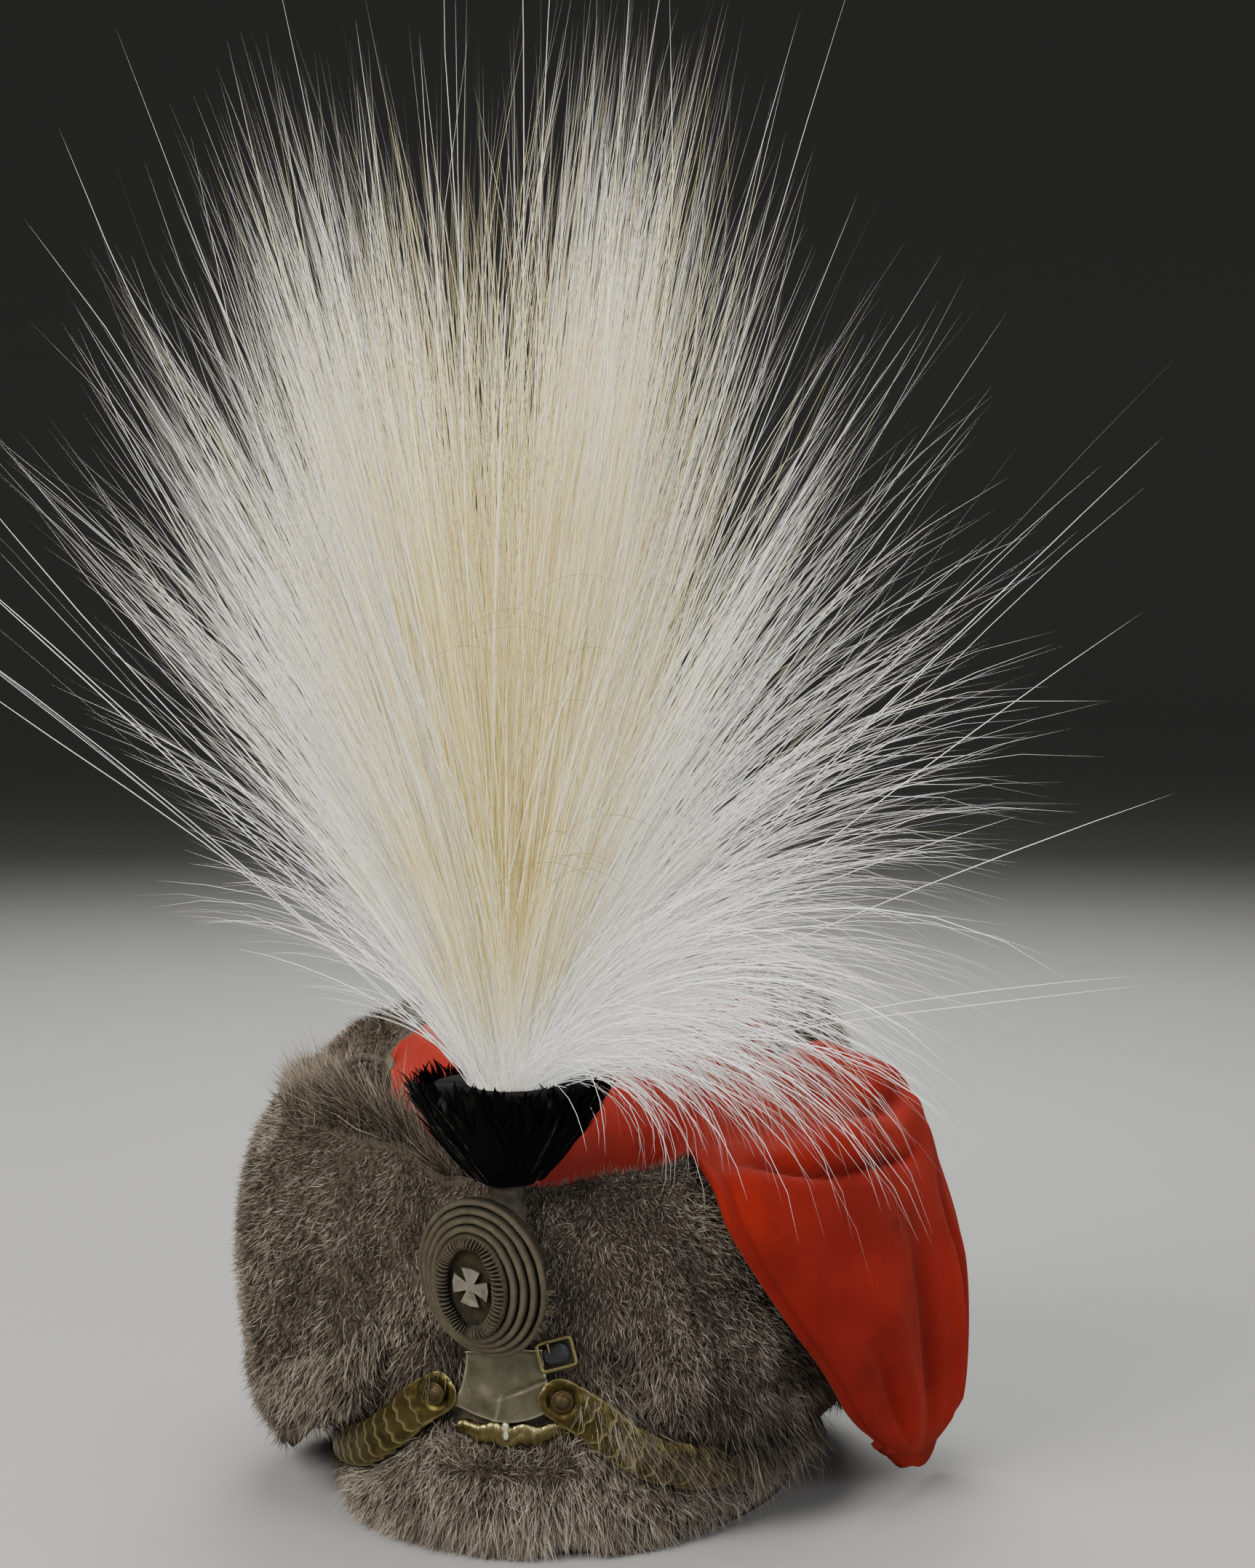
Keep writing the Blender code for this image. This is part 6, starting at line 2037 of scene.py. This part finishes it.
def build_loop():
    """Cord loop on the rim: two twisted rounds side by side and a smaller one inside them."""
    foot = seat(
        np.array(LOOP_AZIMUTH), np.array(rim_height(np.array(LOOP_AZIMUTH)) - LOCK_DROOP), -LEDGE_WIDTH / 2
    )
    centre = foot + np.array([0, 0, LOOP_RADIUS + LOOP_CORD_RADIUS + GAP])
    outward = unit(np.array(LOOP_FACING))
    first = unit(np.cross(UPWARD, outward))
    second = np.cross(outward, first)
    angle = full_turn(220)
    parts = []
    for radius, thick, forward, tall in (
        (LOOP_RADIUS, 0.00125, -0.0008, 1.0), (LOOP_RADIUS * 0.96, 0.00115, 0.0013, 0.98),
        (LOOP_RADIUS * 0.62, 0.0011, 0.0008, 1.05), (LOOP_RADIUS * 0.80, 0.0009, 0.0002, 0.92)
    ):
        flat = radius * (np.cos(angle)[:, None] * first + np.sin(angle)[:, None] * second * tall)
        path = (
            centre + flat + (forward + 0.0006 * np.sin(angle * 2))[:, None] * outward
            - (LOOP_RADIUS - radius) * second
        )
        points, quads, uv = tube(path, thick, 10, outward, closed=True, lobes=2, turns=18, depth=0.16)
        parts.append((points, quads, None, uv))
    points, quads, _, uv = joined(parts)
    shade = plain_grain_material(
        "old_cord", (0.014, 0.012, 0.009), (0.125, 0.105, 0.080), 0.8, 200.0, 2400.0, 0.0006
    )
    made = piece_from("cord_rounds", points, quads, shade, "rim_loop", uv=uv)


def shade_cad(node_name, shade):
    """Give a frame node a finished material in place of its plain one."""
    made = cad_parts[node_name]
    for slot in made.material_slots:
        slot.material = shade


# Stage


def build_floor(scene):
    """Pale floor that rises behind as a wide bowl, with painted shade that darkens it away from the hat."""
    radius = np.array([0.0005, 0.5, 1.5, 2.6, 3.4, 4.0, 4.4, 4.6, 4.7])
    rise = np.array([0.0, 0.0, 0.0, 0.0, 0.12, 0.45, 1.0, 1.8, 3.2])
    turn = full_turn(96)
    points = np.stack(
        [radius[:, None] * np.cos(turn), radius[:, None] * np.sin(turn), rise[:, None] + 0 * turn], -1
    )
    made, tree, shader, place = material("pale_floor", 0.85, 0.0, 0.2)
    grain = place_group(tree, groups()["grain"], place, Coarse=2.0, Fine=60.0)
    base = scene.hat_stage.floor[:3]
    pale = mix_colour(tree, grain.outputs[1], (*(c * 0.96 for c in base), 1.0), (*base, 1.0))
    far = node(tree, "ShaderNodeVectorMath", [(0, place)], operation="LENGTH").outputs["Value"]
    # Painted shade: the floor darkens with distance from the hat, as if lit only round it.
    shade = node(
        tree, "ShaderNodeMapRange", [("Value", far)], From_Min=0.7, From_Max=3.2,
        interpolation_type="SMOOTHSTEP"
    ).outputs[0]
    tree.links.new(
        mix_colour(tree, shade, pale, (*(c * 0.16 for c in base), 1.0)), shader.inputs["Base Color"]
    )
    faces = grid_faces(len(radius), 96, False, True)
    mesh = bpy.data.meshes.new("floor")
    mesh.from_pydata(points.reshape(-1, 3).tolist(), [], faces.tolist())
    mesh.polygons.foreach_set("use_smooth", np.full(len(faces), True))
    mesh.materials.append(made)
    floor = bpy.data.objects.new("floor", mesh)
    scene.collection.objects.link(floor)


def build_lights(scene):
    """Even sky and four soft round lamps that face the hat."""
    world = bpy.data.worlds.new("studio")
    world.use_nodes = True
    world.node_tree.nodes["Background"].inputs[0].default_value = (0.95, 0.97, 1.0, 1.0)
    world.node_tree.nodes["Background"].inputs[1].default_value = 0.28
    scene.world = world
    target = Vector((0.02, -0.03, 0.24))
    lamps = (
        ("key", (-0.85, -1.55, 1.35), 1.3, scene.hat_stage.key, (1.0, 0.97, 0.92)),
        ("fill", (1.55, -1.20, 0.75), 1.5, scene.hat_stage.fill, (0.93, 0.96, 1.0)),
        ("back", (-0.35, 1.45, 1.55), 1.2, scene.hat_stage.key * 0.55, (1.0, 1.0, 1.0)),
        ("crown", (0.15, -0.25, 1.75), 0.9, scene.hat_stage.key * 0.32, (1.0, 0.98, 0.95)),
    )
    for name, spot, size, power, colour in lamps:
        lamp = bpy.data.lights.new(name, "AREA")
        lamp.shape = "DISK"
        lamp.size = size
        lamp.energy = power
        lamp.color = colour
        light = bpy.data.objects.new(name, lamp)
        light.location = spot
        light.rotation_euler = (target - Vector(spot)).to_track_quat("-Z", "Y").to_euler()
        scene.collection.objects.link(light)


def build_camera(scene):
    """Camera at the photo's own place and angle."""
    right, ahead, upright = Vector(VIEW_RIGHT), Vector(VIEW_AHEAD), Vector(UPWARD)
    look = math.cos(VIEW_PITCH) * ahead - math.sin(VIEW_PITCH) * upright
    up = math.sin(VIEW_PITCH) * ahead + math.cos(VIEW_PITCH) * upright
    eye = VIEW_PLACE[1] * ahead + VIEW_PLACE[0] * right + VIEW_PLACE[2] * upright
    lens = bpy.data.cameras.new("camera")
    lens.sensor_fit = "VERTICAL"
    lens.sensor_height = 36
    lens.lens = scene.hat_stage.lens
    camera = bpy.data.objects.new("camera", lens)
    camera.matrix_world = Matrix.Translation(eye) @ Matrix((right, up, -look)).transposed().to_4x4()
    scene.collection.objects.link(camera)
    scene.camera = camera


# Settings


class FurSettings(bpy.types.PropertyGroup):
    length: bpy.props.FloatProperty(
        name="Hair length", description="Length of a long guard hair", default=0.0052, unit="LENGTH"
    )
    inset: bpy.props.FloatProperty(
        name="Skin inset", description="Depth of the skin under the fur's outline", default=0.0034,
        unit="LENGTH"
    )
    guard_share: bpy.props.FloatProperty(
        name="Guard hairs", description="Share of hairs that are long and pale", default=0.26,
        subtype="FACTOR"
    )
    hairs: bpy.props.IntProperty(
        name="Hairs in a piece", description="Roots sown for each piece of fur", default=64000
    )
    dark: bpy.props.FloatVectorProperty(
        name="Undercoat", description="Colour at the hair's root", size=4, subtype="COLOR",
        default=(0.066, 0.053, 0.041, 1.0)
    )
    middle: bpy.props.FloatVectorProperty(
        name="Body", description="Colour of the hair's middle", size=4, subtype="COLOR",
        default=(0.215, 0.178, 0.138, 1.0)
    )
    pale: bpy.props.FloatVectorProperty(
        name="Tips", description="Colour of the palest tips", size=4, subtype="COLOR",
        default=(0.54, 0.49, 0.40, 1.0)
    )


class BagSettings(bpy.types.PropertyGroup):
    red: bpy.props.FloatVectorProperty(
        name="Cloth", description="Colour of the bag's wool", size=4, subtype="COLOR",
        default=(0.33, 0.018, 0.011, 1.0)
    )
    width: bpy.props.FloatProperty(
        name="Cut width", description="Width of the cloth before it was sewn", default=0.215, unit="LENGTH"
    )
    length: bpy.props.FloatProperty(
        name="Cut length", description="Length of the cloth before it was sewn", default=0.365,
        unit="LENGTH"
    )


class PlumeSettings(bpy.types.PropertyGroup):
    heart: bpy.props.IntProperty(name="Heart strands", description="Strands near upright", default=8800)
    outside: bpy.props.IntProperty(
        name="Outer strands", description="Strands that lean outward", default=3400
    )
    clumps: bpy.props.IntProperty(name="Clumps", description="Clumps in each piece", default=190)
    fan: bpy.props.FloatProperty(
        name="Fan", description="Spread of a clump's strands in degrees", default=4.6
    )
    evenness: bpy.props.FloatProperty(
        name="Evenness", description="Power that keeps strands long", default=1.15
    )
    width: bpy.props.FloatProperty(
        name="Strand width", description="Width of a fine strand", default=0.00025, unit="LENGTH"
    )
    white: bpy.props.FloatVectorProperty(
        name="White", description="Colour of the outer strands", size=4, subtype="COLOR",
        default=(0.98, 0.98, 0.95, 1.0)
    )
    cream: bpy.props.FloatVectorProperty(
        name="Cream", description="Colour of the heart's strands", size=4, subtype="COLOR",
        default=(1.0, 0.86, 0.40, 1.0)
    )


class MetalSettings(bpy.types.PropertyGroup):
    brass: bpy.props.FloatVectorProperty(
        name="Brass", description="Colour of the aged brass", size=4, subtype="COLOR",
        default=(0.105, 0.082, 0.027, 1.0)
    )
    plate: bpy.props.FloatVectorProperty(
        name="Scroll", description="Colour of the worn scroll", size=4, subtype="COLOR",
        default=(0.135, 0.125, 0.080, 1.0)
    )


class StageSettings(bpy.types.PropertyGroup):
    lens: bpy.props.FloatProperty(
        name="Lens", description="Focal length for a 36 mm tall picture", default=68.58, unit="CAMERA"
    )
    key: bpy.props.FloatProperty(
        name="Key light", description="Power of the key light in watts", default=52.0, unit="POWER"
    )
    fill: bpy.props.FloatProperty(
        name="Fill light", description="Power of the fill light in watts", default=18.0, unit="POWER"
    )
    floor: bpy.props.FloatVectorProperty(
        name="Floor", description="Colour of the floor", size=4, subtype="COLOR",
        default=(0.40, 0.40, 0.39, 1.0)
    )


# Operators


class HAT_OT_stage(bpy.types.Operator):
    """Make the floor, the soft lights and the camera"""

    bl_idname = "hat.stage"
    bl_label = "Stage"

    def execute(self, context):
        build_floor(context.scene)
        build_lights(context.scene)
        build_camera(context.scene)
        return {"FINISHED"}


class HAT_OT_fur(bpy.types.Operator):
    """Make the hollow wall and the hair on it"""

    bl_idname = "hat.fur"
    bl_label = "Fur"

    def execute(self, context):
        settings = context.scene.hat_fur
        build_fur_wall(settings)
        stops = [
            (0.0, tuple(c * 0.6 for c in settings.dark[:3])), (0.22, settings.dark[:3]),
            (0.50, settings.middle[:3]), (1.0, settings.pale[:3])
        ]
        shade = hair_material("fur_hair", stops, 0.62, 0.18)
        for name, seed, density in (
            ("fur_left", 101, left_density),
            ("fur_right", 102, right_density),
            ("fur_back_and_hem", 103, back_and_hem_density),
        ):
            build_hair(name, settings.hairs, seed, settings, density, shade)
        return {"FINISHED"}


class HAT_OT_bag(bpy.types.Operator):
    """Make the red cloth bag"""

    bl_idname = "hat.bag"
    bl_label = "Bag"

    def execute(self, context):
        build_bag(context.scene.hat_bag)
        return {"FINISHED"}


class HAT_OT_plume(bpy.types.Operator):
    """Make the plume, its quills and its fringe"""

    bl_idname = "hat.plume"
    bl_label = "Plume"

    def execute(self, context):
        settings = context.scene.hat_plume
        stops = [
            (0.0, settings.white[:3]), (0.25, settings.white[:3]), (0.68, settings.cream[:3]),
            (1.0, tuple(c * 0.62 for c in settings.cream[:3]))
        ]
        shade = hair_material("plume_hair", stops, 0.45, 0.3, 0.10, True)
        build_plume_head(shade)
        build_strands("plume_heart", settings.heart, 7, 201, settings, shade, "heart")
        build_strands("plume_outside", settings.outside, 10, 202, settings, shade, "outside")
        build_plume_fringe(shade)
        build_quills(shade)
        build_dark_hairs(shade)
        return {"FINISHED"}


class HAT_OT_cup(bpy.types.Operator):
    """Make the feather cup and the stem"""

    bl_idname = "hat.cup"
    bl_label = "Cup and stem"

    def execute(self, context):
        build_cup()
        build_stem()
        return {"FINISHED"}


class HAT_OT_cockade(bpy.types.Operator):
    """Make the corded cockade"""

    bl_idname = "hat.cockade"
    bl_label = "Cockade"

    def execute(self, context):
        build_cockade()
        shade_cad(
            "cockade_cross",
            metal_material(
                "worn_silver", (0.34, 0.32, 0.26), (0.07, 0.06, 0.04), (0.9, 0.88, 0.8), 0.7, 240.0
            )
        )
        return {"FINISHED"}


class HAT_OT_metal(bpy.types.Operator):
    """Make the scroll, the strip, the buckle, the lugs and the scales"""

    bl_idname = "hat.metal"
    bl_label = "Metalwork"

    def execute(self, context):
        settings = context.scene.hat_metal
        brass = metal_material(
            "aged_brass", settings.brass[:3], (0.022, 0.017, 0.006), (0.46, 0.39, 0.19), 0.9, 150.0
        )
        plate = metal_material(
            "worn_scroll", settings.plate[:3], (0.045, 0.041, 0.024), (0.58, 0.55, 0.40), 0.8, 90.0, 0.7,
            0.0003
        )
        rusty = metal_material(
            "rusted_stud", (0.050, 0.034, 0.014), (0.018, 0.011, 0.005), (0.17, 0.12, 0.05), 0.9, 260.0, 0.8
        )
        bright = metal_material(
            "bright_pin", (0.62, 0.58, 0.42), (0.2, 0.18, 0.10), (0.92, 0.88, 0.72), 0.3, 200.0
        )
        build_plate(plate)
        build_bar(brass)
        build_pin(bright)
        build_buckle(brass)
        for word, side, count in (("left", -1, LEFT_SCALES), ("right", 1, RIGHT_SCALES)):
            build_lug(word, side, brass, rusty)
            build_scales(word, side, count, brass)
        leather = plain_grain_material(
            "strap_hide", (0.010, 0.009, 0.008), (0.040, 0.036, 0.030), 0.55, 180.0, 1800.0, 0.0004
        )
        for word in ("left", "right"):
            shade_cad(f"chin_strap_{word}", leather)
        return {"FINISHED"}


class HAT_OT_loop(bpy.types.Operator):
    """Make the cord loop on the rim"""

    bl_idname = "hat.loop"
    bl_label = "Rim loop"

    def execute(self, context):
        build_loop()
        return {"FINISHED"}


class HAT_PT_panel(bpy.types.Panel):
    """Panel that lists the pieces and their settings"""

    bl_idname = "HAT_PT_panel"
    bl_label = "Plumed fur hat"
    bl_space_type = "VIEW_3D"
    bl_region_type = "UI"
    bl_category = "Fur Hat"

    def draw(self, context):
        for operator, settings in PIECES:
            self.layout.operator(operator.bl_idname)
            if settings:
                owner = getattr(context.scene, settings)
                for word in type(owner).__annotations__:
                    self.layout.prop(owner, word)


PIECES = (
    (HAT_OT_stage, "hat_stage"),
    (HAT_OT_fur, "hat_fur"),
    (HAT_OT_bag, "hat_bag"),
    (HAT_OT_plume, "hat_plume"),
    (HAT_OT_cup, None),
    (HAT_OT_cockade, None),
    (HAT_OT_metal, "hat_metal"),
    (HAT_OT_loop, None),
)
SETTINGS = (
    ("hat_stage", StageSettings),
    ("hat_fur", FurSettings),
    ("hat_bag", BagSettings),
    ("hat_plume", PlumeSettings),
    ("hat_metal", MetalSettings),
)


def register():
    for word, settings in SETTINGS:
        bpy.utils.register_class(settings)
        setattr(bpy.types.Scene, word, bpy.props.PointerProperty(type=settings))
    for operator, _ in PIECES:
        bpy.utils.register_class(operator)
    bpy.utils.register_class(HAT_PT_panel)


def unregister():
    bpy.utils.unregister_class(HAT_PT_panel)
    for operator, _ in reversed(PIECES):
        bpy.utils.unregister_class(operator)
    for word, settings in reversed(SETTINGS):
        delattr(bpy.types.Scene, word)
        bpy.utils.unregister_class(settings)


def main():
    register()
    for operator, _ in PIECES:
        family, word = operator.bl_idname.split(".")
        getattr(getattr(bpy.ops, family), word)()


if __name__ == "__main__":
    main()
